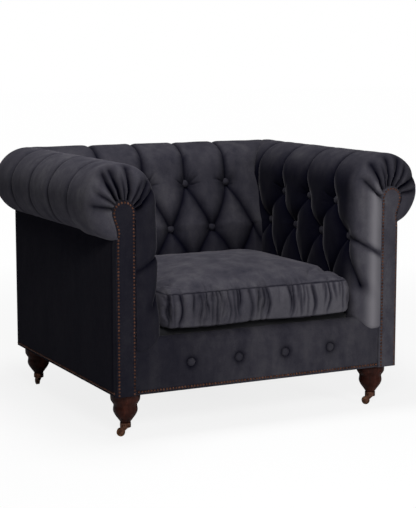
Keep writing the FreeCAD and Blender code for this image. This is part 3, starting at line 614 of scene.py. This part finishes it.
def arm_surface(side):
    """The whole arm pad of one side as a right-hand grid, and its painted shade and painted highlight. The
    section runs along the rows. Along the columns comes first the swollen front, from the arm board's edge
    out to the rim, then the pad straight back to the mitre with the back roll."""
    total = ARM_WALL + ROLL_RADIUS * (ARM_TURN - ARM_UNDER)
    s = np.linspace(-FOOT_TUCK, total, cells(total))[:, None]
    x_plain, z_plain, angle = arm_section(s, ARM_ROLL, ROLL_RADIUS)
    wall_end = back_depth(z_plain) + WALL_OVERLAP
    at_mitre = np.minimum(BACK_ROLL_DEPTH - ARM_ROLL_X + x_plain, BACK_ROLL_DEPTH)
    on_roll = smoothstep(ARM_WALL * ROLL_BLEND, ARM_WALL, s)
    end = wall_end * (1 - on_roll) + (at_mitre + past_mitre(s, ARM_WALL)) * on_roll

    run = np.linspace(0, 1, cells(0.72))[None, :]
    depth = RIM_DEPTH + (end - RIM_DEPTH) * run
    full = 1 - smoothstep(NOSE_END - NOSE_FADE, NOSE_END + 0.006, depth)
    centre = (ARM_ROLL[0] + NOSE_SHIFT * full, ARM_ROLL[1] - NOSE_SHIFT * full)
    x, z, _ = arm_section(s + 0 * depth, centre, ROLL_RADIUS + (NOSE_RADIUS - ROLL_RADIUS) * full)
    body = np.stack([x, FRONT + depth, z], axis=2)

    turn = np.linspace(1, 0, cells(0.13), endpoint=False)[None, :] * math.pi / 2
    rim_x, rim_z, _ = arm_section(s, NOSE_CENTRE, NOSE_RADIUS)
    edge_x, edge_z = arch_target(s, angle)
    out = np.cos(turn) ** 0.85
    forward = np.sin(turn) ** 0.8
    sag = NOSE_SAG * np.sin(math.pi * out) * (1 - smoothstep(0, 0.06, s))
    tuck = TUCK_FOOT * (1 - smoothstep(-0.014, 0.012, s))
    tuck = tuck + TUCK_EDGE * smoothstep(0.80, 1.0, turn / (math.pi / 2))
    nose = np.stack(
        [
            edge_x + (rim_x - edge_x) * out,
            FRONT + RIM_DEPTH - (RIM_DEPTH + NOSE_SWELL) * forward + tuck,
            edge_z + (rim_z - edge_z) * out - sag,
        ],
        axis=2,
    )
    grid = np.concatenate([nose, body], axis=1)
    a = np.concatenate([-CAP * turn / (math.pi / 2) + 0 * s, depth - RIM_DEPTH], axis=1)
    b = s + 0 * a
    folds, buttons = arm_folds(side)
    points, shade = tufted(grid, 1, a, b, folds, buttons, end - RIM_DEPTH - a, ARM_WALL, total, 5)
    # Painted shade on the inner face behind the front, and on the left arm over its front as well. On the
    # right arm, painted shade over the roll and a painted highlight in a band on the front.
    wall = 1 - smoothstep(ARM_WALL, ARM_WALL + 0.13, b)
    away = PAINTED_SHADE["inner"] * wall * smoothstep(-0.03, 0.04, a)
    if side == "left":
        away = np.maximum(away, PAINTED_SHADE["left_front"] * wall)
    else:
        away = away + PAINTED_SHADE["right_roll"] * (1 - wall)
        away = away - PAINTED_HIGHLIGHT["right_front"] * wall * np.exp(-((a - HIGHLIGHT_PLACE) / HIGHLIGHT_WIDTH) ** 2)
    return points, darker(away, shade)


def arm_corner():
    """The round outer corner: the roll's outer half carried a quarter turn about an upright axis."""
    angle = np.linspace(math.pi / 2, ARM_UNDER, cells(0.30))[:, None]
    turn = np.linspace(0, math.pi / 2, cells(0.16))[None, :]
    out = CORNER_RADIUS * np.cos(angle)
    x = ARM_ROLL_X + out * np.cos(turn)
    y = FRONT + BACK_ROLL_DEPTH + out * np.sin(turn)
    return np.stack([x, y, ROLL_HEIGHT + CORNER_RADIUS * np.sin(angle) + 0 * turn], axis=2)


def arm_pad(name, side):
    points, painted_light = arm_surface(name)
    # The arm pad's painted shade and painted highlight go with its grid
    grids = [(points, 1, painted_light), (arm_corner(), 1)]
    return piece("arm_pad_" + name, grids, "velvet", ["inside_arm_" + name], mirror=side < 0)


# Back
def back_section(s):
    """Depth and height along the back's section: foot to waist, waist to the roll, then round the roll."""
    low = np.clip(s / BACK_LOW, 0, 1)
    high = np.clip((s - BACK_LOW) / (BACK_WALL - BACK_LOW), 0, 1)
    angle = BACK_TURN - np.maximum(s - BACK_WALL, 0) / ROLL_RADIUS
    wall_d = BACK_FOOT[0] + (BACK_WAIST[0] - BACK_FOOT[0]) * low + (BACK_TOP[0] - BACK_WAIST[0]) * high
    wall_z = BACK_FOOT[1] + (BACK_WAIST[1] - BACK_FOOT[1]) * low + (BACK_TOP[1] - BACK_WAIST[1]) * high
    on_roll = s > BACK_WALL
    depth = np.where(on_roll, BACK_ROLL_DEPTH + ROLL_RADIUS * np.cos(angle), wall_d)
    height = np.where(on_roll, ROLL_HEIGHT + ROLL_RADIUS * np.sin(angle), wall_z)
    return depth, height


def back_reach(height):
    """How far along the back's section a height of its face is."""
    if height < BACK_WAIST[1]:
        return BACK_LOW * (height - BACK_FOOT[1]) / (BACK_WAIST[1] - BACK_FOOT[1])
    return BACK_LOW + (BACK_WALL - BACK_LOW) * (height - BACK_WAIST[1]) / (BACK_TOP[1] - BACK_WAIST[1])


def back_folds():
    """The folds and buttons of the back, in distance across and along the section."""
    row_1, row_2, low = (back_reach(z) for z in (BACK_ROWS[0][0], BACK_ROWS[1][0], LOW_ROW))
    end = BACK_WALL + ROLL_RADIUS * (BACK_TURN - BACK_UNDER)
    random = np.random.default_rng(33)
    folds = []
    for x in BACK_ROWS[0][1]:
        folds += pleat(x, row_1, BACK_WALL, end)
        for other in (x - BACK_HALF_PITCH, x + BACK_HALF_PITCH):
            folds.append((x, row_1, other, row_2, *WALL_FOLD, random.uniform(-BACK_BOW, BACK_BOW)))
    for x in [-BACK_EDGE_X] + BACK_ROWS[1][1] + [BACK_EDGE_X]:
        for other in (x - BACK_HALF_PITCH, x + BACK_HALF_PITCH):
            folds.append((x, row_2, other, low, *WALL_FOLD, random.uniform(-BACK_BOW, BACK_BOW)))
    buttons = [(x, back_reach(z)) for z, row in BACK_ROWS for x in row]
    return folds + starbursts(buttons, 13), buttons


def back_pad():
    """The inside back and its roll: the section carried from mitre to mitre."""
    total = BACK_WALL + ROLL_RADIUS * (BACK_TURN - BACK_UNDER)
    s = np.linspace(0, total, cells(total))[:, None]
    depth, height = back_section(s)
    arm_x = arm_section(arm_reach(height), ARM_ROLL, ROLL_RADIUS)[0] + 0.012
    mitre_x = np.minimum(ARM_ROLL_X - BACK_ROLL_DEPTH + depth, ARM_ROLL_X) + past_mitre(s, BACK_WALL)
    on_roll = smoothstep(BACK_WALL * ROLL_BLEND, BACK_WALL, s)
    half = arm_x * (1 - on_roll) + mitre_x * on_roll
    x = half * np.linspace(-1, 1, cells(0.80))[None, :]
    b = s + 0 * x
    grid = np.stack([x, FRONT + depth + 0 * x, height + 0 * x], axis=2)
    folds, buttons = back_folds()
    points, shade = tufted(grid, -1, x, b, folds, buttons, half - np.abs(x), BACK_WALL, total, 6)
    # Painted shade over the whole back, darker near the seat, and in its folds and hollows
    near_seat = 1 - smoothstep(back_reach(0.43), back_reach(0.57), b)
    away = np.maximum(PAINTED_SHADE["back"], PAINTED_SHADE["seat_line"] * near_seat)
    return piece("back_pad", [(points, -1, darker(away, shade))], "velvet", ["inside_back"])


# Buttons and nails
def turned(profile, centre, axis, sides):
    """A turned shape: radius and height pairs carried round an axis from a centre."""
    axis = np.array(axis, float) / np.linalg.norm(axis)
    side = np.cross(axis, (0, 0, 1.0)) if abs(axis[2]) < 0.9 else np.array((1.0, 0, 0))
    side /= np.linalg.norm(side)
    other = np.cross(axis, side)
    radius, height = np.array(profile, float).T[:, :, None]
    turn = np.linspace(0, 2 * math.pi, sides + 1)[None, :]
    ring = side * np.cos(turn)[..., None] + other * np.sin(turn)[..., None]
    return np.array(centre) + ring * radius[..., None] + axis * height[..., None]


BUTTON_PROFILE = [
    (0.0115, -0.006), (0.0122, -0.001), (0.0118, 0.0022), (0.0100, 0.0046), (0.0070, 0.0062),
    (0.0035, 0.0070), (0, 0.0072),
]
NAIL_PROFILE = [(0.0038, -0.001), (0.0038, 0.0002), (0.0033, 0.0015), (0.0019, 0.0024), (0, 0.0027)]
NAIL_PITCH = 0.0095
NAIL_RISE = 0.009
BUTTON_SINK = PUFF + 0.006


def buttons(name, places, node):
    # Painted shade on every button
    grids = [(turned(BUTTON_PROFILE, p, axis, 24), 1, PAINTED_SHADE["button"]) for p, axis in places]
    return piece(name, grids, "velvet", [node], closed=True)


def arm_button_places(side):
    """Place and axis of each arm button, set into the leaning face."""
    lean = (ARM_TOP[0] - ARM_FOOT[0]) / (ARM_TOP[1] - ARM_FOOT[1])
    for height, row in ARM_ROWS:
        for d in row:
            x = ARM_FOOT[0] + lean * (height - ARM_FOOT[1]) + BUTTON_SINK
            yield (side * x, FRONT + d, height), (-side, 0, lean)


def back_button_places():
    """Place and axis of each back button."""
    lean = (BACK_TOP[0] - BACK_WAIST[0]) / (BACK_TOP[1] - BACK_WAIST[1])
    for height, row in BACK_ROWS:
        for x in row:
            yield (x, FRONT + float(back_depth(height)) + BUTTON_SINK, height), (0, -1, lean)


def row_of_nails(corners):
    """Evenly spaced places along a path of straight runs."""
    corners = np.array(corners, float)
    reach = np.concatenate([[0], np.cumsum(np.linalg.norm(np.diff(corners, axis=0), axis=1))])
    at = np.linspace(0, reach[-1], max(2, round(reach[-1] / NAIL_PITCH) + 1))
    return np.stack([np.interp(at, reach, corners[:, k]) for k in range(3)], axis=1)


# Panels
BOARD_WAIST = 0.588


def board_outline(inset):
    """The edge of the slim arm board, drawn in by an inset: up its inner side, round the arch, and down its
    outer side past the waist."""
    turn = np.linspace(math.pi, ARCH_END, 40)
    radius = ARCH_RADIUS - inset
    arch = np.stack([ARCH_CENTRE[0] + radius * np.cos(turn), ARCH_CENTRE[1] + radius * np.sin(turn)], axis=1)
    inner_z = np.linspace(BASE_BOTTOM + inset, ARCH_CENTRE[1], 60, endpoint=False)
    inner = np.stack([np.full(60, FACING_INNER + inset), inner_z], axis=1)
    fall = np.linspace(0, 1, 61)[1:]
    outer_z = arch[-1, 1] + (BASE_BOTTOM + inset - arch[-1, 1]) * fall
    waist = np.exp(-((outer_z - BOARD_WAIST) / 0.022) ** 2) * 0.004
    bulge = (arch[-1, 0] - (PANEL_X - inset)) * (1 - smoothstep(0, 0.045, arch[-1, 1] - outer_z))
    outer = np.stack([PANEL_X - inset - waist + bulge, outer_z], axis=1)
    return np.concatenate([inner, arch, outer])


# The share of the way from the edge to the middle line, and the depth there
FACING_RINGS = [
    (0.0, 0.029), (0.0, 0.002), (0.0, -0.001), (0.02, -0.0033), (0.06, -0.0050), (0.14, -0.0064),
    (0.28, -0.0077), (0.5, -0.0086), (0.75, -0.0090), (1.0, -0.0091),
]


def facing(name, side):
    """The padded arm front: rings from its edge in to its middle line, rising 8 mm, steeply at first."""
    outline = board_outline(-0.001)
    spine_x = np.full(len(outline), (FACING_INNER + PANEL_X) / 2)
    spine_z = np.clip(outline[:, 1], BASE_BOTTOM + 0.028, ARCH_CENTRE[1])
    spine = np.stack([spine_x, spine_z], axis=1)
    rings = []
    for q, depth in FACING_RINGS:
        flat = outline + (spine - outline) * q
        rings.append(np.stack([flat[:, 0], np.full(len(flat), FRONT + depth), flat[:, 1]], axis=1))
    grid = np.stack(rings)
    grid = np.concatenate([grid, grid[:, :1]], axis=1)
    # Painted shade on the left arm's front only
    grids = [(grid, -1, PAINTED_SHADE["left_front"] if side < 0 else 0.0)]
    return piece("arm_front_" + name, grids, "velvet", ["arm_facing_" + name], mirror=side < 0)


PANEL_GAP = 0.0003
PANEL_PROUD, PANEL_EDGE = 0.0015, 0.006
UNDER_ROLL = 0.012


def flat_pad(origin, u, v, out, thick, edge):
    """A flat upholstered panel: a rectangle whose surface falls to its edges in a rounded lip."""
    rows, columns = 60, 80
    a = np.linspace(0, 1, rows)[:, None, None]
    b = np.linspace(0, 1, columns)[None, :, None]
    u, v, out = (np.array(w, float) for w in (u, v, out))
    from_ends = np.minimum(a, 1 - a) * np.linalg.norm(u)
    from_sides = np.minimum(b, 1 - b) * np.linalg.norm(v)
    near = np.clip(np.minimum(from_ends, from_sides) / edge, 0, 1)
    return np.array(origin) + u * a + v * b + out * (thick * np.sqrt(1 - (1 - near) ** 2))


def outer_panel(name, node, origin, along, out, sense, mirror=False):
    """A flat velvet panel of the outside, from the foot of the base up under the roll."""
    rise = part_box(node)[1][2] + UNDER_ROLL - BASE_BOTTOM
    grid = flat_pad(origin, (0, 0, rise), along, out, PANEL_PROUD, PANEL_EDGE)
    # Painted shade, near black, over every outside panel
    return piece(name, [(grid, sense, PAINTED_SHADE["outer"])], "velvet", [node], mirror=mirror)


def outer_side(name, side):
    origin = (PANEL_X + PANEL_GAP, FRONT + 0.012, BASE_BOTTOM)
    along = (0, PANEL_BACK - 0.012, 0)
    outer_panel("outer_side_" + name, "outside_arm_" + name, origin, along, (1, 0, 0), -1, mirror=side < 0)


def outer_back():
    origin = (-PANEL_X, FRONT + PANEL_BACK + PANEL_GAP, BASE_BOTTOM)
    outer_panel("outer_back", "outside_back", origin, (2 * PANEL_X, 0, 0), (0, 1, 0), 1)


def curve_through(points, count):
    """A smooth profile through a few points: a Catmull-Rom spline."""
    p = np.array(points, float)
    p = np.concatenate([2 * p[:1] - p[1:2], p, 2 * p[-1:] - p[-2:-1]])
    t = np.linspace(0, len(points) - 1 - 1e-9, count)
    k = t.astype(int)
    t = (t - k)[:, None]
    p0, p1, p2, p3 = p[k], p[k + 1], p[k + 2], p[k + 3]
    square = (2 * p0 - 5 * p1 + 4 * p2 - p3) * t ** 2
    cube = (3 * p1 - p0 - 3 * p2 + p3) * t ** 3
    return 0.5 * (2 * p1 + (p2 - p0) * t + square + cube)


BORDER_PROFILE = [
    (0.014, 0.1265), (0.003, 0.1272), (-0.001, 0.134), (-0.004, 0.17), (-0.0055, 0.21), (-0.004, 0.25),
    (0.002, 0.272), (0.015, 0.2835), (0.028, 0.281), (0.037, 0.270),
]
BORDER_FOLD = (0.014, 0.010, 0.0, 1.0, 0.002)
BORDER_FOLD_ENDS = (0.262, 0.150)


def front_border():
    """The padded front of the base: a bellied profile, rolled over at the top, carried across the chair."""
    depth, height = curve_through(BORDER_PROFILE, cells(0.22)).T[:, :, None]
    x = np.linspace(-FACING_INNER, FACING_INNER, cells(0.8))[None, :]
    ends = smoothstep(0, 0.05, FACING_INNER - np.abs(x))
    depth = 0.001 + (depth - 0.001) * np.where(depth < 0.001, ends, 1)
    a, b = x + 0 * depth, height + 0 * x
    places = [(c, BORDER_BUTTON_HEIGHT) for c in BORDER_BUTTONS]
    folds = starbursts(places, 14, 9, 0.030)
    for c, at in places:
        folds += [(c, at, c + 0.004, end, *BORDER_FOLD) for end in BORDER_FOLD_ENDS]
    on_face = smoothstep(0.02, 0.0, depth)
    depth_in, shade = creased(a, b, folds)
    inset = (0.5 * depth_in + pulled(a, b, places, 0.006, 0.016)) * on_face + ripples(a, b, 0.0008, 7)
    grid = np.stack([a, FRONT + depth + 0 * x, b], axis=2)
    points = grid - outward_normals(grid, -1) * inset[..., None]
    # Painted shade over the border, darker towards its left end, in its creases and in a ring round each
    # button
    away = PAINTED_SHADE["border"] + PAINTED_SHADE["border_left"] * (1 - smoothstep(-0.40, 0.10, a))
    ring = np.clip(pulled(a, b, places, 1.3, 0.017), 0, 0.9) * on_face
    away = darker(away, np.maximum(0.35 * shade, ring))
    return piece("front_border_pad", [(points, -1, away)], "velvet", ["front_border"])


DECK_LIP = 0.012
DECK_EDGE = 0.014


def deck():
    """The platform under the cushion: a low pad, rounded over at its edges."""
    low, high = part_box("deck_pad")
    across, back = (high[0] - low[0], 0, 0), (0, high[1] - low[1], 0)
    top = flat_pad((low[0], low[1], high[2] - DECK_LIP), across, back, (0, 0, 1), DECK_LIP, DECK_EDGE)
    under = flat_pad((low[0], low[1], low[2]), across, back, (0, 0, 1), 0, DECK_EDGE)
    grids = [(top, 1), (under, -1)]
    for edge in (np.s_[0], np.s_[-1], np.s_[:, 0], np.s_[:, -1]):
        grids.append((np.stack([top[edge], under[edge]]), 1))
    return piece("deck", grids, "lining_cloth", ["deck_pad"], closed=True)


def underside():
    """The cloth tacked under the base: one sheet that sags a millimetre between its edges."""
    low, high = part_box("dust_cover")
    x = np.linspace(low[0], high[0], 90)[:, None]
    y = np.linspace(low[1], high[1], 80)[None, :]
    across = np.cos(math.pi * x / (high[0] - low[0]))
    along = np.sin(math.pi * (y - low[1]) / (high[1] - low[1]))
    sag = 0.0012 * across * along
    grid = np.stack([x + 0 * y, y + 0 * x, high[2] - 0.0008 - sag], axis=2)
    thing = piece("underside_cloth", [(grid, -1)], "lining_cloth", ["dust_cover"])
    return thing


# Cushion
SEAT_LOW, SEAT_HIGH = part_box("seat_cushion_cover")
SEAT_MIDDLE = (SEAT_HIGH[1] + SEAT_LOW[1]) / 2
SEAT_MARGIN = 0.006
HALF_X = (SEAT_HIGH[0] - SEAT_LOW[0]) / 2 - SEAT_MARGIN
HALF_Y = (SEAT_HIGH[1] - SEAT_LOW[1]) / 2 - SEAT_MARGIN
SEAM_TOP = 0.400
SEAM_LOW = SEAT_LOW[2] + 0.004
SIDE_DRAW = 0.008
CUSHION_WRINKLES = 84
SIM_CELL = 0.006
SIM_CAP = 0.012
SIM_FRAMES = 20
CLOTH = {
    "quality": 5,
    "mass": 0.15,
    "bending_stiffness": 0.05,
    "use_pressure": True,
    "uniform_pressure_force": 4.0,
    "shrink_min": -0.04,
}
OVERHANG = (-0.235, -0.205)
HANG = 0.008
GATHER_DEPTH = 0.0062
SEAM_DEPTH = 0.0018


def cushion_outline(turn):
    """A rounded rectangle by angle, its sides drawn in at their middles."""
    power = 14.0
    c, s = np.cos(turn), np.sin(turn)
    r = 1 / (np.abs(c) ** power + np.abs(s) ** power) ** (1 / power)
    x, y = r * c, r * s
    x_in = SIDE_DRAW * (1 - y ** 2) * smoothstep(0.6, 1.0, np.abs(x))
    y_in = SIDE_DRAW * (1 - x ** 2) * smoothstep(0.6, 1.0, np.abs(y))
    return x * (HALF_X - x_in), y * (HALF_Y - y_in)


def even_turns(count):
    """Angles spaced evenly along a square's edge, not by angle."""
    q = np.linspace(0, 8, count, endpoint=True)
    side = np.floor((q + 1) / 2).astype(int) % 4
    along = q - 2 * np.floor((q + 1) / 2)
    return np.arctan(along) + side * math.pi / 2


def cushion_form():
    """The unstuffed cushion: a crown of 1 - rho^2.8 inside the top seam, a boxing bellied by sin(pi t), and
    a flat foot. Over the front edge of the platform its lower half hangs a little."""
    crown = SEAT_HIGH[2] - 0.004 - SEAM_TOP
    levels = []
    for rho in np.linspace(0, 1, 48):
        levels.append((rho, SEAM_TOP + crown * (1 - rho ** 2.8), 0.0))
    for t in np.linspace(0, 1, 28)[1:]:
        levels.append((1.0, SEAM_TOP + (SEAM_LOW - SEAM_TOP) * t, 0.008 * math.sin(math.pi * t) - 0.002))
    for rho in np.linspace(1, 0, 10)[1:]:
        levels.append((rho, SEAM_LOW - 0.003 * (1 - rho ** 6), 0.0))
    rho, height, belly = np.array(levels).T[:, :, None]
    x, y = cushion_outline(even_turns(cells(2.4))[None, :])
    grow = rho + belly / np.hypot(x, y)
    px, py = x * grow, y * grow
    over_edge = 1 - smoothstep(*OVERHANG, py)
    low_half = 1 - smoothstep(SEAM_LOW, SEAM_TOP, height)
    z = height + (0.002 * np.cos(px * 21) - HANG) * over_edge * low_half
    z = z - ripples(px, py, 0.0015, 8) * (rho < 1) * (height > SEAM_TOP)
    grid = np.stack([px, SEAT_MIDDLE + py, z], axis=2)
    grid[:, -1] = grid[:, 0]
    grid[0] = grid[0].mean(axis=0)
    grid[-1] = grid[-1].mean(axis=0)
    return grid


def applied(thing):
    """Replace an object's mesh by what its modifiers make of it."""
    mesh = bpy.data.meshes.new_from_object(thing.evaluated_get(bpy.context.evaluated_depsgraph_get()))
    thing.modifiers.clear()
    thing.data = mesh
    return mesh


def vertex_places(mesh):
    places = np.empty(len(mesh.vertices) * 3)
    mesh.vertices.foreach_get("co", places)
    return places.reshape(-1, 3)


def stuffed(thing, held):
    """Swell a padded piece by a cloth simulation under pressure. held(points) says how firmly its seams hold
    it, from 0 to 1."""
    thing.modifiers.new("even_mesh", "REMESH").voxel_size = SIM_CELL
    mesh = applied(thing)
    rest = vertex_places(mesh)
    group = thing.vertex_groups.new(name="held")
    for index, weight in enumerate(held(rest)):
        if weight > 0.01:
            group.add([index], float(weight), "REPLACE")
    cloth = thing.modifiers.new("cloth", "CLOTH").settings
    for setting, value in CLOTH.items():
        setattr(cloth, setting, value)
    cloth.effector_weights.gravity = 0.0
    cloth.vertex_group_mass = "held"
    for moment in range(1, SIM_FRAMES + 1):
        bpy.context.scene.frame_set(moment)
    mesh = applied(thing)
    bpy.context.scene.frame_set(1)
    moved = vertex_places(mesh) - rest
    length = np.linalg.norm(moved, axis=1, keepdims=True)
    moved *= np.minimum(1, SIM_CAP / np.maximum(length, 1e-9))
    mesh.vertices.foreach_set("co", (rest + moved).ravel())
    smooth = thing.modifiers.new("smooth", "SUBSURF")
    smooth.levels = 1
    smooth.render_levels = 1
    applied(thing).shade_smooth()


def cushion_seams(points, width):
    """1 on the two seams, falling off over a width."""
    z = points[:, 2]
    hang = HANG * (1 - smoothstep(*OVERHANG, points[:, 1] - SEAT_MIDDLE))
    on_seam = np.exp(-((z - SEAM_TOP) / width) ** 2) + np.exp(-((z - SEAM_LOW + hang) / width) ** 2)
    edge = np.maximum(np.abs(points[:, 0]) / HALF_X, np.abs(points[:, 1] - SEAT_MIDDLE) / HALF_Y)
    return np.minimum(on_seam, 1) * smoothstep(0.93, 0.96, edge)


def cushion_wrinkles(points):
    """The gathers of the front boxing: upright creases from below the top seam, a few carried on over it."""
    px, py, z = points[:, 0], points[:, 1] - SEAT_MIDDLE, points[:, 2]
    random = np.random.default_rng(21)
    wrinkle = np.zeros(len(px))
    for _ in range(CUSHION_WRINKLES):
        at = random.uniform(-0.30, 0.30) if random.random() < 0.55 else random.uniform(-0.26, 0.02)
        lean, width = random.uniform(-0.06, 0.06), random.uniform(0.0030, 0.0065)
        size = random.uniform(0.2, 1.0) ** 1.3
        top = random.uniform(0.0, 0.016) if random.random() < 0.6 else random.uniform(0.016, 0.034)
        foot = random.uniform(0.295, 0.370)
        line_x = at + lean * (SEAM_TOP - z) + 0.002 * np.sin(z * 70 + at * 90)
        reach = SEAM_TOP + top
        span = smoothstep(foot - 0.03, foot + 0.03, z) * (1 - smoothstep(reach - 0.014, reach, z))
        wrinkle = np.maximum(wrinkle, np.exp(-np.abs((px - line_x) / width) ** 1.6) * span * size)
    near_front = 1 - smoothstep(-HALF_Y + 0.012, -HALF_Y + 0.060, py)
    return wrinkle * near_front * (1 - 0.5 * smoothstep(SEAM_TOP - 0.004, SEAM_TOP + 0.006, z))


def cushion():
    """The loose seat cushion: stuffed, its seams held, then its seams and gathers pressed in along the
    normals."""
    grids = [(cushion_form(), 1)]
    cover = ["seat_cushion_cover"]
    thing = piece("seat_cushion_pad", grids, "velvet", cover, body="seat_cushion", closed=True)
    stuffed(thing, lambda p: np.maximum(cushion_seams(p, SIM_CELL), p[:, 2] < SEAM_LOW + 0.001))
    mesh = thing.data
    points = vertex_places(mesh)
    normals = np.array([v.normal[:] for v in mesh.vertices])
    wrinkle = cushion_wrinkles(points)
    depth_in = GATHER_DEPTH * wrinkle + SEAM_DEPTH * cushion_seams(points, 0.0035)
    mesh.vertices.foreach_set("co", (points - normals * depth_in[:, None]).ravel())
    # Painted highlight along the front of the boxing, and painted shade in the gathers and along the seams
    from_front = points[:, 1] - SEAT_MIDDLE + HALF_Y
    front = (1 - smoothstep(0.004, 0.020, from_front)) * smoothstep(-0.2, 0.2, points[:, 0])
    lines = np.maximum(wrinkle ** 1.3, 0.8 * cushion_seams(points, 0.0022))
    away = darker(-PAINTED_HIGHLIGHT["boxing"] * front, lines)
    if "shade" not in mesh.attributes:
        mesh.attributes.new("shade", "FLOAT", "POINT")
    mesh.attributes["shade"].data.foreach_set("value", away.astype(np.float32))
    mesh.update()


# Legs
LEG_PROFILE = [
    (0, 0.127), (0.0400, 0.127), (0.0418, 0.1235), (0.0422, 0.117), (0.0418, 0.110), (0.0410, 0.1055),
    (0.0378, 0.1000), (0.0342, 0.0945), (0.0333, 0.0900), (0.0340, 0.0850), (0.0347, 0.0795),
    (0.0343, 0.0745), (0.0322, 0.0685), (0.0280, 0.0610), (0.0225, 0.0535), (0.0175, 0.0465),
    (0.0135, 0.0410), (0.0120, 0.0396), (0.0120, 0.033), (0, 0.033),
]


def legs():
    """The four legs: one smooth profile turned about each leg's axis, flat at head and tip."""
    profile = curve_through(LEG_PROFILE[1:-3], 70)
    profile = np.concatenate([[LEG_PROFILE[0]], profile, LEG_PROFILE[-3:]])
    grids = []
    for depth in LEGS.values():
        for side in SIDES.values():
            grids.append((turned(profile, (side * LEG_X, FRONT + depth, 0), (0, 0, 1), 64), 1))
    return piece("legs", grids, "turned_wood", ["turned_legs"], closed=True)


def nailheads():
    """Close nailheads round both arm fronts, and along the foot of both sides and of the front."""
    edge = board_outline(0.0065)
    foot = BASE_BOTTOM + NAIL_RISE
    runs = []
    for side in SIDES.values():
        places = np.stack([side * edge[:, 0], np.full(len(edge), FRONT - 0.0062), edge[:, 1]], axis=1)
        runs.append((places, (0, -1, 0)))
        x = side * (PANEL_X + 0.0008)
        runs.append(([(x, FRONT + 0.012, foot), (x, FRONT + PANEL_BACK - 0.008, foot)], (side, 0, 0)))
    x = FACING_INNER - 0.008
    runs.append(([(-x, FRONT - 0.0015, foot), (x, FRONT - 0.0015, foot)], (0, -1, 0)))
    grids = []
    for run, axis in runs:
        grids += [(turned(NAIL_PROFILE, p, axis, 8), 1) for p in row_of_nails(run)]
    return piece("nailheads", grids, "antique_bronze", finish=NAIL_FINISH, closed=True)


# Build
for side_name, side_sign in SIDES.items():
    arm_pad(side_name, side_sign)
    facing(side_name, side_sign)
    outer_side(side_name, side_sign)
    buttons("arm_button_set_" + side_name, list(arm_button_places(side_sign)), "arm_buttons_" + side_name)
back_pad()
outer_back()
buttons("back_button_set", list(back_button_places()), "back_buttons")
front_border()
front_places = [((x, FRONT + 0.0015, BORDER_BUTTON_HEIGHT), (0, -1, 0)) for x in BORDER_BUTTONS]
buttons("front_button_set", front_places, "front_buttons")
deck()
underside()
cushion()
legs()
nailheads()

for node, thing in frame["nodes"].items():
    slot_name = next(p["material_slot"] for p in frame["record"]["subparts"] if p["node"] == node)
    thing.data.materials.clear()
    thing.data.materials.append(FINISHES[slot_name])

# Studio
AZIMUTH, ELEVATION = math.radians(-26.946449), math.radians(8.128566)
FOCAL_PIXELS, LONG_SIDE = 1438.4037, 508
CAMERA_PLACE = (-1.97728298, -3.96604743, 1.07544342)
# Name, place, aim, size and watts
LAMPS = [
    ("key", (-0.9, -2.4, 1.5), (0.1, -0.2, 0.4), (0.7, 0.5), 33),
    ("top", (-0.3, -0.2, 2.5), (0, 0, 0.4), (0.9, 0.9), 43),
    ("right", (1.0, -2.2, 0.9), (0.3, -0.2, 0.4), (0.6, 0.6), 12),
]


def camera():
    data = bpy.data.cameras.new("camera")
    data.sensor_width = 36
    data.lens = FOCAL_PIXELS / LONG_SIDE * 36
    thing = in_scene("camera", data)
    thing.location = CAMERA_PLACE
    thing.rotation_euler = (math.pi / 2 - ELEVATION, 0, AZIMUTH)
    bpy.context.scene.camera = thing


def lamp(name, place, aim, size, power):
    data = bpy.data.lights.new(name, "AREA")
    data.shape = "RECTANGLE"
    data.size, data.size_y = size
    data.energy = power
    thing = in_scene(name, data)
    away = np.array(place) - np.array(aim)
    flat = math.hypot(away[0], away[1])
    thing.location = place
    thing.rotation_euler = (math.atan2(flat, away[2]), 0, math.atan2(away[0], -away[1]))


FLOOR_REACH = 30.0
WHITE_NEAR, WHITE_PER_METRE, WHITE_MOST = 0.82, 0.06, 0.995


def white_where(tree, seen, plain, white, output):
    """Mix two shaders, the white one by how far it should be seen, and link them to an output node."""
    mix = tree.nodes.new("ShaderNodeMixShader")
    tree.links.new(seen, mix.inputs[0])
    tree.links.new(plain.outputs[0], mix.inputs[1])
    tree.links.new(white.outputs[0], mix.inputs[2])
    tree.links.new(mix.outputs[0], tree.nodes[output].inputs[0])


def floor():
    """A pale floor that keeps the chair's shadow but shows the camera more and more white further away."""
    mesh = bpy.data.meshes.new("floor")
    corners = [(x * FLOOR_REACH, y * FLOOR_REACH, 0) for x, y in ((-1, -1), (1, -1), (1, 1), (-1, 1))]
    mesh.from_pydata(corners, [], [(0, 1, 2, 3)])
    f = Finish("pale_floor", Roughness=0.6, Base_Color=(0.92, 0.92, 0.92, 1), Specular_IOR_Level=0.2)
    tree = f.tree
    away = f.node("ShaderNodeVectorMath", {"operation": "LENGTH"}, {0: f.place}, output=1)
    white = away * WHITE_PER_METRE + WHITE_NEAR
    seen = f.node("ShaderNodeLightPath", {}, {}) * white.math("MINIMUM", white, WHITE_MOST)
    white_where(tree, seen.socket, f.shader, tree.nodes.new("ShaderNodeEmission"), "Material Output")
    mesh.materials.append(f.material)
    in_scene("floor", mesh)


def surroundings():
    """White to the camera, a faint cool grey as light."""
    world = bpy.data.worlds.new("studio")
    world.use_nodes = True
    tree = world.node_tree
    light = tree.nodes.new("ShaderNodeBackground")
    light.inputs[0].default_value = (0.72, 0.80, 1.0, 1)
    light.inputs[1].default_value = 0.04
    white = tree.nodes.new("ShaderNodeBackground")
    white.inputs[0].default_value = (1, 1, 1, 1)
    seen = tree.nodes.new("ShaderNodeLightPath").outputs[0]
    white_where(tree, seen, light, white, "World Output")
    bpy.context.scene.world = world


camera()
floor()
surroundings()
for lamp_row in LAMPS:
    lamp(*lamp_row)
bpy.context.scene.view_settings.view_transform = "Standard"
